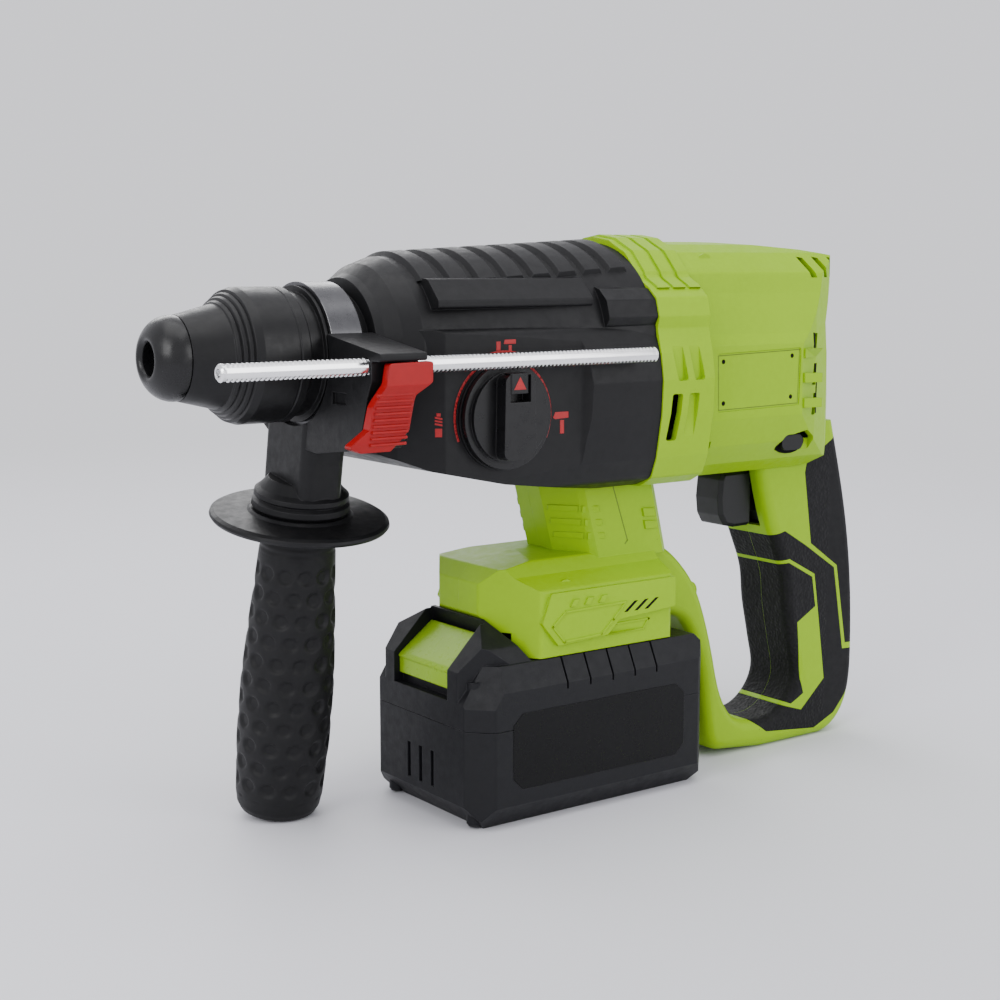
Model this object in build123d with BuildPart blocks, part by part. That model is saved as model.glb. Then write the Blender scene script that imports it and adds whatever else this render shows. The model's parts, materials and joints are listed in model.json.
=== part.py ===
from build123d import *
from math import acos, cos, pi, radians, sin, sqrt, tan
import os

# Cordless rotary hammer, millimetres.  +X points out of the chuck, +Z is up, and +Y is the side
# that carries the mode knob and the depth rod.  The origin is the middle of the battery's underside.

os.makedirs("parts", exist_ok=True)

# ---------------------------------------------------------------- driving dimensions
SPINDLE_Z = 177.5              # height of the spindle axis
GEAR_MODULE = 1.0              # spindle gear pair
SPINDLE_TEETH = 48
PINION_TEETH = 13
MOTOR_MODULE = 0.8             # motor gear pair
DRIVEN_TEETH = 39
MOTOR_TEETH = 9
SHAFT_Z = SPINDLE_Z - GEAR_MODULE * (SPINDLE_TEETH + PINION_TEETH) / 2
MOTOR_Z = SHAFT_Z + MOTOR_MODULE * (DRIVEN_TEETH + MOTOR_TEETH) / 2

WALL = 2.8                     # plastic casing wall
RUN = 0.05                     # radial clearance of a running fit
GAP = 0.3                      # clearance between moving bodies
SEAM_X = -24.0                 # joint between the gear housing and the motor housing
NOSE_END_X = 109.7             # front of the gear housing's collar
NOSE_R = 21.6                  # radius of the collar that the side handle clamps

SDS_BORE_R = 5.0               # ten millimetre slotted shank
DUST_CAP_TIP_X = 167.0
CAP_BORE_R = 5.6
SLEEVE_TRAVEL = 5.0
SLEEVE_REAR_X = 116.6

HANDLE_X = 103.4               # plane of the side handle's axis
HANDLE_TILT = 10.4             # lean of the side handle, lower end towards -Y
HANDLE_REACH = 178.0           # spindle axis to the lower end of the side handle
BAND_HALF = 6.1                # half width of the clamp band
BAND_R = 25.3

ROD_R = 3.0
ROD_Y = 49.0
ROD_Z = 175.4
ROD_REAR_X = -14.5
ROD_FRONT_X = 165.0

KNOB_X = 47.5
KNOB_Z = 155.0
KNOB_R = 19.0
FLANK_Y = 39.5                 # flat flank that carries the knob

BATTERY_HALF_X = 58.7
BATTERY_HALF_Y = 37.8
BATTERY_SEAM_Z = 38.0
BATTERY_DECK_Z = 61.6
CELL_R = 9.2
CELL_LENGTH = 65.0
CELL_PITCH = 19.6


# ---------------------------------------------------------------- shape helpers
def prism(plane, points, depth, round_by=0.0, inset=0.0, mode=Mode.ADD):
    """Straight extrusion of a closed polygon with rounded corners, shrunk by inset."""
    with BuildSketch(plane) as profile:
        with BuildLine():
            Polyline(*points, close=True)
        make_face()
        if inset:
            offset(amount=-inset, kind=Kind.INTERSECTION)
        if round_by > inset:
            fillet(profile.vertices(), round_by - inset)
    extrude(profile.sketch, amount=depth, mode=mode)


def side_prism(points, y_low, y_high, round_by=0.0, inset=0.0, mode=Mode.ADD):
    """Polygon of (x, z) points, extruded across the object from y_low to y_high."""
    prism(Plane.XZ.offset(-y_high), points, y_high - y_low, round_by, inset, mode)


def cross_prism(points, x_low, x_high, round_by=0.0, inset=0.0, mode=Mode.ADD):
    """Polygon of (y, z) points, extruded along the object from x_low to x_high."""
    prism(Plane.YZ.offset(x_low), points, x_high - x_low, round_by, inset, mode)


def plan_prism(points, z_low, z_high, round_by=0.0, inset=0.0, mode=Mode.ADD):
    """Polygon of (x, y) points, extruded upwards from z_low to z_high."""
    prism(Plane.XY.offset(z_low), points, z_high - z_low, round_by, inset, mode)


def both_sides(half):
    """Closes a half outline of (y, z) or (x, y) points whose first coordinate is mirrored."""
    return list(half) + [(-a, b) for a, b in reversed(half) if a != 0]


def plan_both(half):
    """Closes a half outline of (x, y) points by mirroring y."""
    return list(half) + [(a, -b) for a, b in reversed(half) if b != 0]


def turned(profile, centre_z, mode=Mode.ADD):
    """Solid of revolution about the X direction at height centre_z, from (x, radius) points."""
    with BuildSketch(Plane.XZ) as half_section:
        with BuildLine():
            Polyline(*[(x, centre_z + r) for x, r in profile], close=True)
        make_face()
    revolve(half_section.sketch, axis=Axis((0, 0, centre_z), (1, 0, 0)), mode=mode)


def ring(x_low, x_high, r_in, r_out, centre_z, mode=Mode.ADD):
    """Plain ring about the X direction, solid when r_in is zero."""
    turned([(x_low, r_in), (x_high, r_in), (x_high, r_out), (x_low, r_out)], centre_z, mode)


def rod_along_x(x_low, x_high, radius, y, z, mode=Mode.ADD):
    """Round bar along X at the place (y, z)."""
    with BuildSketch(Plane.YZ.offset(x_low)) as disc:
        with Locations((y, z)):
            Circle(radius)
    extrude(disc.sketch, amount=x_high - x_low, mode=mode)


def rod_along_y(y_low, y_high, radius, x, z, mode=Mode.ADD):
    """Round bar along Y at the place (x, z)."""
    with BuildSketch(Plane.XZ.offset(-y_high)) as disc:
        with Locations((x, z)):
            Circle(radius)
    extrude(disc.sketch, amount=y_high - y_low, mode=mode)


def rod_along_z(z_low, z_high, radius, x, y, mode=Mode.ADD):
    """Round bar along Z at the place (x, y)."""
    with BuildSketch(Plane.XY.offset(z_low)) as disc:
        with Locations((x, y)):
            Circle(radius)
    extrude(disc.sketch, amount=z_high - z_low, mode=mode)


def block(x_low, x_high, y_low, y_high, z_low, z_high, round_by=0.0, mode=Mode.ADD):
    """Upright rectangular block whose vertical edges are rounded."""
    corners = [(x_low, y_low), (x_high, y_low), (x_high, y_high), (x_low, y_high)]
    plan_prism(corners, z_low, z_high, round_by, mode=mode)


def gear_points(teeth, module, turn):
    """Involute gear outline about (0, 0), thinned for backlash, with its first tooth at turn."""
    pitch_r = teeth * module / 2
    base_r = pitch_r * cos(radians(20))
    radii = (pitch_r - 1.25 * module, pitch_r - 0.45 * module, pitch_r + 0.1 * module, pitch_r + 0.7 * module)
    at_pitch = tan(radians(20)) - radians(20)

    def half_angle(radius):
        pressure = acos(min(1.0, base_r / radius))
        return pi / (2 * teeth) - 0.16 * module / pitch_r + at_pitch - (tan(pressure) - pressure)

    outline = []
    for tooth in range(teeth):
        middle = turn + 2 * pi * tooth / teeth
        for radius in radii:
            angle = middle - half_angle(radius)
            outline.append((radius * cos(angle), radius * sin(angle)))
        for radius in reversed(radii):
            angle = middle + half_angle(radius)
            outline.append((radius * cos(angle), radius * sin(angle)))
    return outline


def gear(teeth, module, x_low, x_high, centre_z, turn):
    """Spur gear about the X direction."""
    points = [(y, z + centre_z) for y, z in gear_points(teeth, module, turn)]
    cross_prism(points, x_low, x_high)


def finish(builder, label):
    """Labels a finished piece and writes it as its own node."""
    builder.part.label = label
    export_step(builder.part, f"parts/{label}.step")


# ---------------------------------------------------------------- gear housing (black casing)
FLANK_SECTION = both_sides([(0, 187), (37.5, 186), (41.6, 175.2), (43.2, 165), (42.6, 152), (39.6, 135),
                            (36.5, 127), (28, 123.6), (0, 122)])
FLANK_SIDE = [(0, 124), (46, 130), (76, 136.5), (91.6, 143), (91.6, 188), (-40, 188), (-40, 120.5)]
FLANK_PLAN = plan_both([(92.0, 0), (92.0, 17), (86, 28), (72, 37.6), (12.5, FLANK_Y), (9.5, 43.4), (-40, 43.4)])
WING_SECTION = [(22, 186), (38.3, 185.6), (40.2, 189), (38.4, 195.5), (34, 199.4), (27, 201.5)]
STRIP_SECTION = [(22, 204.2), (28.4, 203.6), (35.3, 196.2), (35.3, 193.6), (26, 192.4), (18, 196)]
RIB_COUNT = 8
JOINT_SCREWS = [(32.4, 134.0), (22.0, 201.5)]


def barrel(inset):
    """Tapered barrel around the hammer mechanism."""
    turned([(SEAM_X, 0), (SEAM_X, 39.4 - inset), (78, 34 - inset), (85, 31.6 - inset), (90, 28 - inset),
            (92.6 - inset, 26.6 - inset), (92.6 - inset, 0)], SPINDLE_Z)


with BuildPart() as flank_block:
    side_prism(FLANK_SIDE, -50, 50, round_by=6)
    cross_prism(FLANK_SECTION, SEAM_X, 96, round_by=4, mode=Mode.INTERSECT)
    plan_prism(FLANK_PLAN, 110, 200, round_by=1.6, mode=Mode.INTERSECT)

with BuildPart() as flank_core:
    side_prism(FLANK_SIDE, -50, 50, round_by=6, inset=WALL)
    cross_prism(FLANK_SECTION, SEAM_X - 1, 96, round_by=4, inset=WALL, mode=Mode.INTERSECT)
    plan_prism(FLANK_PLAN, 110, 200, inset=WALL + 0.4, mode=Mode.INTERSECT)

with BuildPart() as housing_ribs:
    for index in range(RIB_COUNT):
        rear = -19 + index * 12.0
        radius = 39.2 - 5.4 * (rear - SEAM_X) / 102
        turned([(rear, 30), (rear, radius + 0.5), (rear + 1.4, radius + 1.9), (rear + 8.2, radius + 1.5),
                (rear + 9.4, radius - 0.2), (rear + 9.4, 30)], SPINDLE_Z)
    cross_prism(both_sides([(0, 225), (31, 225), (26.5, 203.5), (15, 201), (0, 200)]), -30, 90, mode=Mode.INTERSECT)

with BuildPart() as barrel_core:
    barrel(WALL)

with BuildPart() as gear_housing:
    barrel(0)
    add(flank_block.part)
    for side in (1, -1):
        cross_prism([(side * y, z) for y, z in WING_SECTION], SEAM_X, 0, round_by=1.2)
        cross_prism([(side * y, z) for y, z in STRIP_SECTION], 4, 73, round_by=1.0)
    add(housing_ribs.part)
    ring(90, NOSE_END_X, 0, NOSE_R, SPINDLE_Z)
    add(barrel_core.part, mode=Mode.SUBTRACT)
    add(flank_core.part, mode=Mode.SUBTRACT)
    ring(84, 98, 0, 18.5, SPINDLE_Z, mode=Mode.SUBTRACT)
    ring(98, NOSE_END_X + 1, 0, 16.5, SPINDLE_Z, mode=Mode.SUBTRACT)
    ring(SEAM_X - 1, SEAM_X + 4, 0, 36.4, SPINDLE_Z, mode=Mode.SUBTRACT)
    for side in (1, -1):
        for boss_y, boss_z in JOINT_SCREWS:
            rod_along_x(SEAM_X, -9, 4.6, side * boss_y, boss_z)
            rod_along_x(SEAM_X - 1, -10, 2.0, side * boss_y, boss_z, mode=Mode.SUBTRACT)
    rod_along_y(30, 39.9, 19.6, KNOB_X, KNOB_Z)
    rod_along_y(29, 36.4, 20.6, KNOB_X, KNOB_Z, mode=Mode.SUBTRACT)
    rod_along_y(FLANK_Y - 0.2, 46, 19.7, KNOB_X, KNOB_Z, mode=Mode.SUBTRACT)
    rod_along_y(30, 45, 6.3, KNOB_X, KNOB_Z, mode=Mode.SUBTRACT)
finish(gear_housing, "gear_housing")


# ---------------------------------------------------------------- motor housing (two green half shells)
MOTOR_SECTION = both_sides([(0, 217.6), (13, 216.4), (20, 213.2), (27.5, 205), (28.6, 197), (32.6, 181), (34.6, 176.5),
                            (35, 168), (34.6, 147), (31, 136), (25, 128), (17, 122.6), (0, 122)])
MOTOR_SIDE = [(-87, 217.4), (-122, 214.6), (-143, 211.4), (-154, 206.8), (-152.5, 203.6),
              (-141, 200.5), (-134, 193), (-131.5, 184), (-133.5, 173), (-139, 157), (-144.5, 145),
              (-148, 137), (-142, 134.5), (-129, 123.5), (-107, 121)]
MOTOR_PLAN = plan_both([(0, 0), (0, 36.3), (-106, 35.5), (-120, 30.5), (-134, 23.5), (-141, 17.5), (-147, 11.5),
                        (-151, 5.5), (-152.4, 0)])
BAND_SECTION = both_sides([(0, 219.4), (10, 218), (21, 212.2), (28.6, 203), (34, 200.2), (38.8, 196.2), (40.8, 189),
                           (39.8, 184.5), (42.2, 175.2), (43.8, 165), (43.2, 152), (40.2, 135), (37.2, 127),
                           (30, 123.2), (0, 121.6)])
BAND_REAR_X = -50.5
NECK_TOP = plan_both([(9.4, 0), (9.4, 8), (0.3, 20), (-2, 22), (-36, 22), (-43, 15), (-43, 0)])
NECK_FOOT = plan_both([(0.6, 0), (0.6, 8), (-8.6, 20), (-11, 22), (-44, 22), (-51, 15), (-51, 0)])
HOLDER_SIDE = [(-40, 62), (29.5, 62), (41, 77), (41, 89), (36, 95), (14, 98), (-40, 98)]
HOLDER_PLAN = plan_both([(41, 0), (41, 13), (26.5, 33.9), (-39.2, 33.9), (-39.2, 0)])
HOLDER_SECTION = both_sides([(0, 98), (20, 97), (25, 92), (34, 87.4), (34, 61), (0, 61)])
PANEL_SIDE = [(22.7, 86.6), (27.0, 75.4), (19.4, 66.3), (-4.7, 67.5), (-10.4, 72.8), (-39.2, 74.6), (-39.2, 86.6)]
STRUT_FRONT = [(-38, 66), (-52, 66), (-61, 63), (-67, 55), (-71.5, 43), (-75, 24), (-77.5, 9)]
FOOT_CORNER = [(-77.5, 9), (-80, 4.6), (-86, 2.4)]
GRIP_REAR = [(-146, 0), (-155, 3.6), (-161.6, 11.5), (-164.8, 22), (-165.6, 38), (-165, 57), (-163.2, 77),
             (-159.4, 100), (-154.4, 121), (-149, 141)]
GAP_EDGE = [(-38, 98), (-51.5, 94.5), (-61, 87), (-69, 77), (-74.5, 65), (-81, 43), (-87.5, 23), (-94, 15.5),
            (-104, 12.6), (-115, 13.2), (-124, 19), (-128.6, 28), (-127.2, 38), (-124.2, 51), (-122, 62),
            (-120.6, 74), (-117, 84), (-111.8, 96), (-104, 122), (-100, 141)]
GRIP_BED = [(-84, 8), (-93, 13), (-104, 10.2), (-116, 10.8), (-126, 17.4), (-131, 28), (-129.6, 38), (-126.6, 51),
            (-124.4, 62), (-123, 74), (-119.4, 84), (-114.2, 96), (-106.6, 122), (-103, 141), (-146, 141),
            (-152, 121), (-157, 100), (-160.7, 77), (-162.5, 57), (-163.1, 38), (-162.3, 22), (-159.2, 13),
            (-153.5, 6), (-145, 2.5), (-95, 2.8)]
COVER_BACK = [(-180, 136), (-149, 133.6), (-132, 123.6), (-131, 119), (-135.8, 87.5), (-152.6, 76), (-159.2, 40),
              (-180, 39)]
COVER_BAND = [(-100, 97.4), (-112, 92.5), (-119.7, 94.4), (-132.8, 86.8), (-150.8, 75.2), (-157.6, 37.4),
              (-180, 36.4), (-180, 24), (-163.5, 20), (-153, 8.8), (-140.6, 3.6), (-111, 6.8), (-99.6, 15), (-90, 19),
              (-100, 27), (-108.4, 20.6), (-132.3, 13.2), (-146.2, 25.5), (-141.5, 56), (-138.6, 73.6),
              (-122.9, 81.8), (-112, 80), (-100, 82)]
COVER_FRONT = [(-100, 80.4), (-112, 78.5), (-122.6, 80.1), (-137.2, 72.4), (-139.6, 59), (-128.6, 53), (-131.4, 27),
               (-133.4, 20.6), (-126, 16.8), (-110, 23)]
GRIP_HALF_Y = 15.6
PLATE_SIDE = [(-60, 173.4), (-107, 174.6), (-106.4, 151), (-60.6, 150.2)]
PLATE_Y = 34.4
STATOR_R = 26.0
SLIDER_X = -107.5
SLIDER_Z = 135.0
CASE_SCREWS = [(-64, 208.5, 22), (-124, 204, 22), (-126, 168, 25), (-137.5, 150, 15), (-141, 42, 14),
               (-86, 9, 14), (-66, 74, 14), (-35, 112, 20.5), (12, 86, 30)]
SCREW_HEAD_DEPTH = 4.0
LOOP_ROUND = 4.5
GRIP_CORE = [(-108, 119), (-118.4, 92), (-125, 76), (-127, 60), (-132, 38), (-133.4, 26), (-128.5, 17.5),
             (-118, 8), (-145, 5), (-152, 9), (-158.6, 20), (-160.4, 38), (-159.8, 57), (-158, 77), (-154.4, 99),
             (-149.4, 119)]
SLIDER_RECESS = [(-98.4, 133.2), (-102.2, 137.6), (-114, 140), (-119.4, 137), (-119.4, 131.6), (-114.4, 129.6),
                 (-102.4, 128.8)]


def grip_loop():
    """Strut, foot and grip: one flat loop between two flowing curves, its long edges rounded."""
    with BuildPart() as loop:
        with BuildSketch(Plane.XZ.offset(-GRIP_HALF_Y)):
            with BuildLine():
                Spline(*STRUT_FRONT)
                Spline(*FOOT_CORNER)
                Line(FOOT_CORNER[-1], (-110, 0))
                Line((-110, 0), GRIP_REAR[0])
                Spline(*GRIP_REAR)
                Line(GRIP_REAR[-1], GAP_EDGE[-1])
                Spline(*reversed(GAP_EDGE))
                Line(GAP_EDGE[0], STRUT_FRONT[0])
            make_face()
        extrude(amount=2 * GRIP_HALF_Y)
        rims = loop.edges().filter_by(lambda edge: abs(edge.center().Y) > GRIP_HALF_Y - 0.01)
        fillet(rims.filter_by_position(Axis.Z, -1, 139).filter_by_position(Axis.X, -180, -38.5), LOOP_ROUND)
    return loop.part


def motor_body(front_x, inset):
    """Rear casing around the motor, ending in the overhanging rear edge."""
    side_prism([(front_x, 219)] + MOTOR_SIDE + [(front_x, 121)], -60, 60, inset=inset)
    cross_prism(MOTOR_SECTION, -170, front_x, round_by=2.5, inset=inset, mode=Mode.INTERSECT)
    plan_prism(MOTOR_PLAN, 100, 230, round_by=3, inset=inset, mode=Mode.INTERSECT)


def neck(inset):
    """Leaning neck between the motor casing and the battery holder."""
    sections = []
    for height, points in ((94, NECK_FOOT), (127, NECK_TOP)):
        with BuildSketch(Plane.XY.offset(height)) as section:
            with BuildLine():
                Polyline(*points, close=True)
            make_face()
            if inset:
                offset(amount=-inset, kind=Kind.INTERSECTION)
        sections.append(section.sketch)
    loft(sections, ruled=True)


def bosses(radius, y_low, y_high, mode=Mode.ADD):
    """A round bar across the casing at every case screw, from y_low to y_high inside the wall."""
    for x, z, half in CASE_SCREWS:
        rod_along_y(max(y_low, -half), min(y_high, half), radius, x, z, mode=mode)


def slider_outline(margin):
    """Side outline of the direction slider, grown by margin."""
    left, right = SLIDER_X - 6 - margin, SLIDER_X + 6 + margin
    low, high = SLIDER_Z - 3.2 - margin, SLIDER_Z + 3.2 + margin
    return [(left, low), (right, low), (right, high), (left, high)]


def vents(side):
    """Air slots, the plate's recess and the selector's dished surround on one flank."""
    outward = side * 60
    for column, row, depth in ((0, 0, 1.2), (1, 0, 1.2), (1, 1, 1.2), (0, 1, 6.0)):
        x_top = -29.0 - 8.6 * column
        z_top = 182.5 - 23 * row
        lean = -2.6 if row == 0 else 1.6
        slot = [(x_top, z_top), (x_top - 5.2, z_top), (x_top - 5.2 + lean, z_top - 18), (x_top + lean, z_top - 18)]
        low, high = sorted((side * (42.8 - depth), outward))
        side_prism(slot, low, high, round_by=1.0, mode=Mode.SUBTRACT)
    low, high = sorted((side * (PLATE_Y - 1.0), outward))
    side_prism(PLATE_SIDE, low, high, round_by=1.0, mode=Mode.SUBTRACT)
    low, high = sorted((side * 27.6, outward))
    side_prism(SLIDER_RECESS, low, high, round_by=1.6, mode=Mode.SUBTRACT)
    for index in range(3):
        base = 146 + index * 12.5
        low, high = sorted((side * 24, outward))
        side_prism([(-117.2, base), (-120, base), (-121.5, base + 9), (-118.7, base + 9)], low, high,
                   mode=Mode.SUBTRACT)
    for index in range(3):
        front = -116 - index * 9
        low, high = sorted((side * 12, outward))
        side_prism([(front, 211.5), (front - 3.4, 211), (front - 6.6, 203), (front - 3.2, 203)], low, high,
                   mode=Mode.SUBTRACT)


with BuildPart() as neck_core:
    neck(WALL)

with BuildPart() as motor_outer:
    motor_body(SEAM_X, 0)

with BuildPart() as motor_core:
    motor_body(SEAM_X + 8, WALL)
    cross_prism(BAND_SECTION, BAND_REAR_X + WALL, SEAM_X + 5, round_by=2, inset=WALL)

with BuildPart() as webs:
    ring(-102, -99.5, STATOR_R + RUN, 60, MOTOR_Z)
    ring(-62, -59.5, STATOR_R + RUN, 60, MOTOR_Z)
    ring(-112, -105, 8.0, 60, MOTOR_Z)
    add(motor_core.part, mode=Mode.INTERSECT)
    block(-98, -44, -24, 24, 100, 138, mode=Mode.SUBTRACT)
    block(-116, -99, -40, 40, 129, 141, mode=Mode.SUBTRACT)

with BuildPart() as holder_outer:
    side_prism(HOLDER_SIDE, -50, 50, round_by=1.5)
    cross_prism(HOLDER_SECTION, -60, 60, round_by=2, mode=Mode.INTERSECT)
    plan_prism(HOLDER_PLAN, 50, 110, round_by=2.5, mode=Mode.INTERSECT)

loop_outer = grip_loop()

with BuildPart() as grip_bed:
    side_prism(GRIP_BED, -GRIP_HALF_Y + 2.6, GRIP_HALF_Y - 2.6)

with BuildPart() as grip_skin:
    add(loop_outer)
    add(grip_bed.part, mode=Mode.SUBTRACT)

with BuildPart() as left_cover_regions:
    for region in (COVER_BACK, COVER_BAND, COVER_FRONT):
        side_prism(region, 0.06, GRIP_HALF_Y + 1)

with BuildPart() as left_grip_cover:
    add(grip_skin.part)
    add(left_cover_regions.part, mode=Mode.INTERSECT)

with BuildPart() as right_grip_cover:
    add(left_grip_cover.part)
    mirror(about=Plane.XZ, mode=Mode.REPLACE)

with BuildPart() as casing:
    add(motor_outer.part)
    cross_prism(BAND_SECTION, BAND_REAR_X, SEAM_X, round_by=2)
    neck(0)
    add(holder_outer.part)
    add(loop_outer)
    for side in (1, -1):
        low, high = sorted((side * 30, side * 35.3))
        side_prism(PANEL_SIDE, low, high, round_by=0.8)
    add(motor_core.part, mode=Mode.SUBTRACT)
    add(neck_core.part, mode=Mode.SUBTRACT)
    add(flank_block.part, mode=Mode.SUBTRACT)
    side_prism(GRIP_CORE, -12, 12, mode=Mode.SUBTRACT)
    block(-36.4, 30, -24, 24, 60, 80, round_by=2, mode=Mode.SUBTRACT)
    block(28, 46, -24, 24, 58, 71, mode=Mode.SUBTRACT)
    add(webs.part)
    for side in (1, -1):
        low, high = sorted((side * 20.6, side * 25))
        side_prism([(-37, 62), (26, 62), (28, 64.4), (-37, 64.4)], low, high)
    bosses(4.2, -40, 40)
    for side in (1, -1):
        for boss_y, boss_z in JOINT_SCREWS:
            rod_along_x(-34, SEAM_X, 5.0, side * boss_y, boss_z)
            rod_along_x(-60, SEAM_X + 1, 2.2, side * boss_y, boss_z, mode=Mode.SUBTRACT)
            rod_along_x(-60, -33, 4.4, side * boss_y, boss_z, mode=Mode.SUBTRACT)
    add(left_grip_cover.part, mode=Mode.SUBTRACT)
    add(right_grip_cover.part, mode=Mode.SUBTRACT)
    # trigger mouth, switch bed and the crossways hole of the direction slider
    block(-119, -80, -8.6, 8.6, 96.6, 121.8, mode=Mode.SUBTRACT)
    block(-147.6, -118.5, -11.6, 11.6, 96.6, 121.6, mode=Mode.SUBTRACT)
    side_prism(slider_outline(GAP), -60, 60, round_by=3, mode=Mode.SUBTRACT)
    for side in (1, -1):
        vents(side)

CASING_CUT = Plane.XZ
with BuildPart() as left_housing:
    add(casing.part)
    split(bisect_by=CASING_CUT, keep=Keep.BOTTOM)
    bosses(1.4, -1, 9, mode=Mode.SUBTRACT)
finish(left_housing, "left_housing")

with BuildPart() as right_housing:
    add(casing.part)
    split(bisect_by=CASING_CUT, keep=Keep.TOP)
    bosses(1.7, -60, 1, mode=Mode.SUBTRACT)
    for screw_x, screw_z, half in CASE_SCREWS:
        rod_along_y(-60, SCREW_HEAD_DEPTH - half, 3.3, screw_x, screw_z, mode=Mode.SUBTRACT)
finish(right_housing, "right_housing")

with BuildPart() as grip_covers:
    add(left_grip_cover.part)
    add(right_grip_cover.part)
finish(grip_covers, "grip_covers")

with BuildPart() as blank_plates:
    for side in (1, -1):
        low, high = sorted((side * PLATE_Y, side * (PLATE_Y - 1.0)))
        side_prism(PLATE_SIDE, low, high, round_by=1.0)
finish(blank_plates, "blank_plates")

with BuildPart() as case_screws:
    for screw_x, screw_z, half in CASE_SCREWS:
        head_y = SCREW_HEAD_DEPTH - half
        rod_along_y(head_y - 2.2, head_y, 3.0, screw_x, screw_z)
        rod_along_y(head_y, 8.8, 1.4, screw_x, screw_z)
finish(case_screws, "case_screws")


# ---------------------------------------------------------------- spindle and chuck
GUIDE_R = 11.0                 # bore of the cylinder tube
TUBE_R = 14.5
with BuildPart() as spindle:
    turned([(24, GUIDE_R), (82, GUIDE_R), (82, 9.0), (113, 9.0), (113, SDS_BORE_R), (161.5, SDS_BORE_R), (161.5, 9.0),
            (160, 10), (121, 10), (121, 13), (79, 13), (79, TUBE_R), (24, TUBE_R)], SPINDLE_Z)
    rod_along_z(SPINDLE_Z - 12, SPINDLE_Z + 12, 3.4, 135, 0, mode=Mode.SUBTRACT)
finish(spindle, "spindle")

with BuildPart() as locking_balls:
    with Locations((135, 0, SPINDLE_Z + 8.6), (135, 0, SPINDLE_Z - 8.6)):
        Sphere(3.3)
finish(locking_balls, "locking_balls")

with BuildPart() as spindle_gear:
    gear(SPINDLE_TEETH, GEAR_MODULE, 41.5, 50.5, SPINDLE_Z, pi / SPINDLE_TEETH - pi / 2)
    ring(40, 52, 0, TUBE_R, SPINDLE_Z, mode=Mode.SUBTRACT)
    for angle in range(0, 360, 60):
        offset_y = 19.3 * cos(radians(angle))
        offset_z = 19.3 * sin(radians(angle))
        rod_along_x(40, 52, 2.4, offset_y, SPINDLE_Z + offset_z, mode=Mode.SUBTRACT)
finish(spindle_gear, "spindle_gear")

with BuildPart() as torque_limiter:
    for index in range(4):
        ring(29 + 3 * index, 30.6 + 3 * index, TUBE_R, 18.5 - 0.4 * (index % 2), SPINDLE_Z)
    ring(26, 28.4, TUBE_R, 19.0, SPINDLE_Z)
finish(torque_limiter, "torque_limiter_washers")

with BuildPart() as chuck_collar:
    turned([(110, 13), (121, 13), (121, 14.2), (113, 16), (113, 20.2), (124, 20.2), (124, 21.9), (111.2, 21.9),
            (111.2, 24), (110, 24)], SPINDLE_Z)
finish(chuck_collar, "chuck_collar")

with BuildPart() as sleeve_spring:
    with BuildLine() as coil:
        Helix(pitch=1.4, height=4.2, radius=12.6, center=(121.7, 0, SPINDLE_Z), direction=(1, 0, 0))
    with BuildSketch(Plane(coil.line @ 0, z_dir=coil.line % 0)):
        Circle(0.5)
    sweep(path=coil.line)
finish(sleeve_spring, "sleeve_spring")

SLEEVE_OUTER = [(156.5, 14.6), (142.6, 18.0), (142.3, 18.6), (141.3, 19.2), (141.0, 18.8), (140.6, 20.1),
                (139.6, 20.6), (139.3, 20.2), (138.9, 21.4), (137.9, 21.9), (137.6, 21.5), (137.2, 22.8),
                (134.4, 23.7), (121.2, 23.7), (120.9, 23.5), (120.5, 23.5), (120.2, 23.7), (117.2, 23.7),
                (SLEEVE_REAR_X, 23.1)]
with BuildPart() as chuck_sleeve:
    turned(SLEEVE_OUTER + [(SLEEVE_REAR_X, 22.4), (131, 22.4), (131, 19), (140, 16.2), (146, 15.4), (155, 12.6),
                           (156.5, 12.6)], SPINDLE_Z)
finish(chuck_sleeve, "chuck_sleeve")

with BuildPart() as lock_ring:
    turned([(131.4, 12.1), (139, 12.1), (139, 15.0), (136, 17.2), (131.4, 18.6)], SPINDLE_Z)
finish(lock_ring, "lock_ring")

with BuildPart() as dust_cap:
    with BuildSketch(Plane.XZ) as cap_section:
        with BuildLine():
            Line((152, SPINDLE_Z + 10.0), (152, SPINDLE_Z + 12.2))
            Line((152, SPINDLE_Z + 12.2), (156.9, SPINDLE_Z + 12.2))
            Line((156.9, SPINDLE_Z + 12.2), (156.9, SPINDLE_Z + 14.6))
            Spline((156.9, SPINDLE_Z + 14.6), (162.6, SPINDLE_Z + 13.3), (166.1, SPINDLE_Z + 9.8),
                   (DUST_CAP_TIP_X, SPINDLE_Z + 7.2), (165.6, SPINDLE_Z + CAP_BORE_R))
            Line((165.6, SPINDLE_Z + CAP_BORE_R), (161.8, SPINDLE_Z + CAP_BORE_R))
            Line((161.8, SPINDLE_Z + CAP_BORE_R), (161.8, SPINDLE_Z + 10.0))
            Line((161.8, SPINDLE_Z + 10.0), (152, SPINDLE_Z + 10.0))
        make_face()
    revolve(cap_section.sketch, axis=Axis((0, 0, SPINDLE_Z), (1, 0, 0)))
finish(dust_cap, "dust_cap")


# ---------------------------------------------------------------- hammer mechanism
PIN_X = 10.0                   # crosswise pin of the piston, above the wobble ring
with BuildPart() as piston:
    ring(5, 46, 0, GUIDE_R - RUN, SPINDLE_Z)
    ring(20, 47, 0, 8.5, SPINDLE_Z, mode=Mode.SUBTRACT)
    block(-20, 16.5, -5.0, 5.0, SPINDLE_Z - 20, SPINDLE_Z + 20, mode=Mode.SUBTRACT)
    rod_along_y(-20, 20, 3.5, PIN_X, SPINDLE_Z, mode=Mode.SUBTRACT)
finish(piston, "piston")

with BuildPart() as piston_pin:
    rod_along_y(-9.5, 9.5, 3.5, PIN_X, SPINDLE_Z)
finish(piston_pin, "piston_pin")

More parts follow.
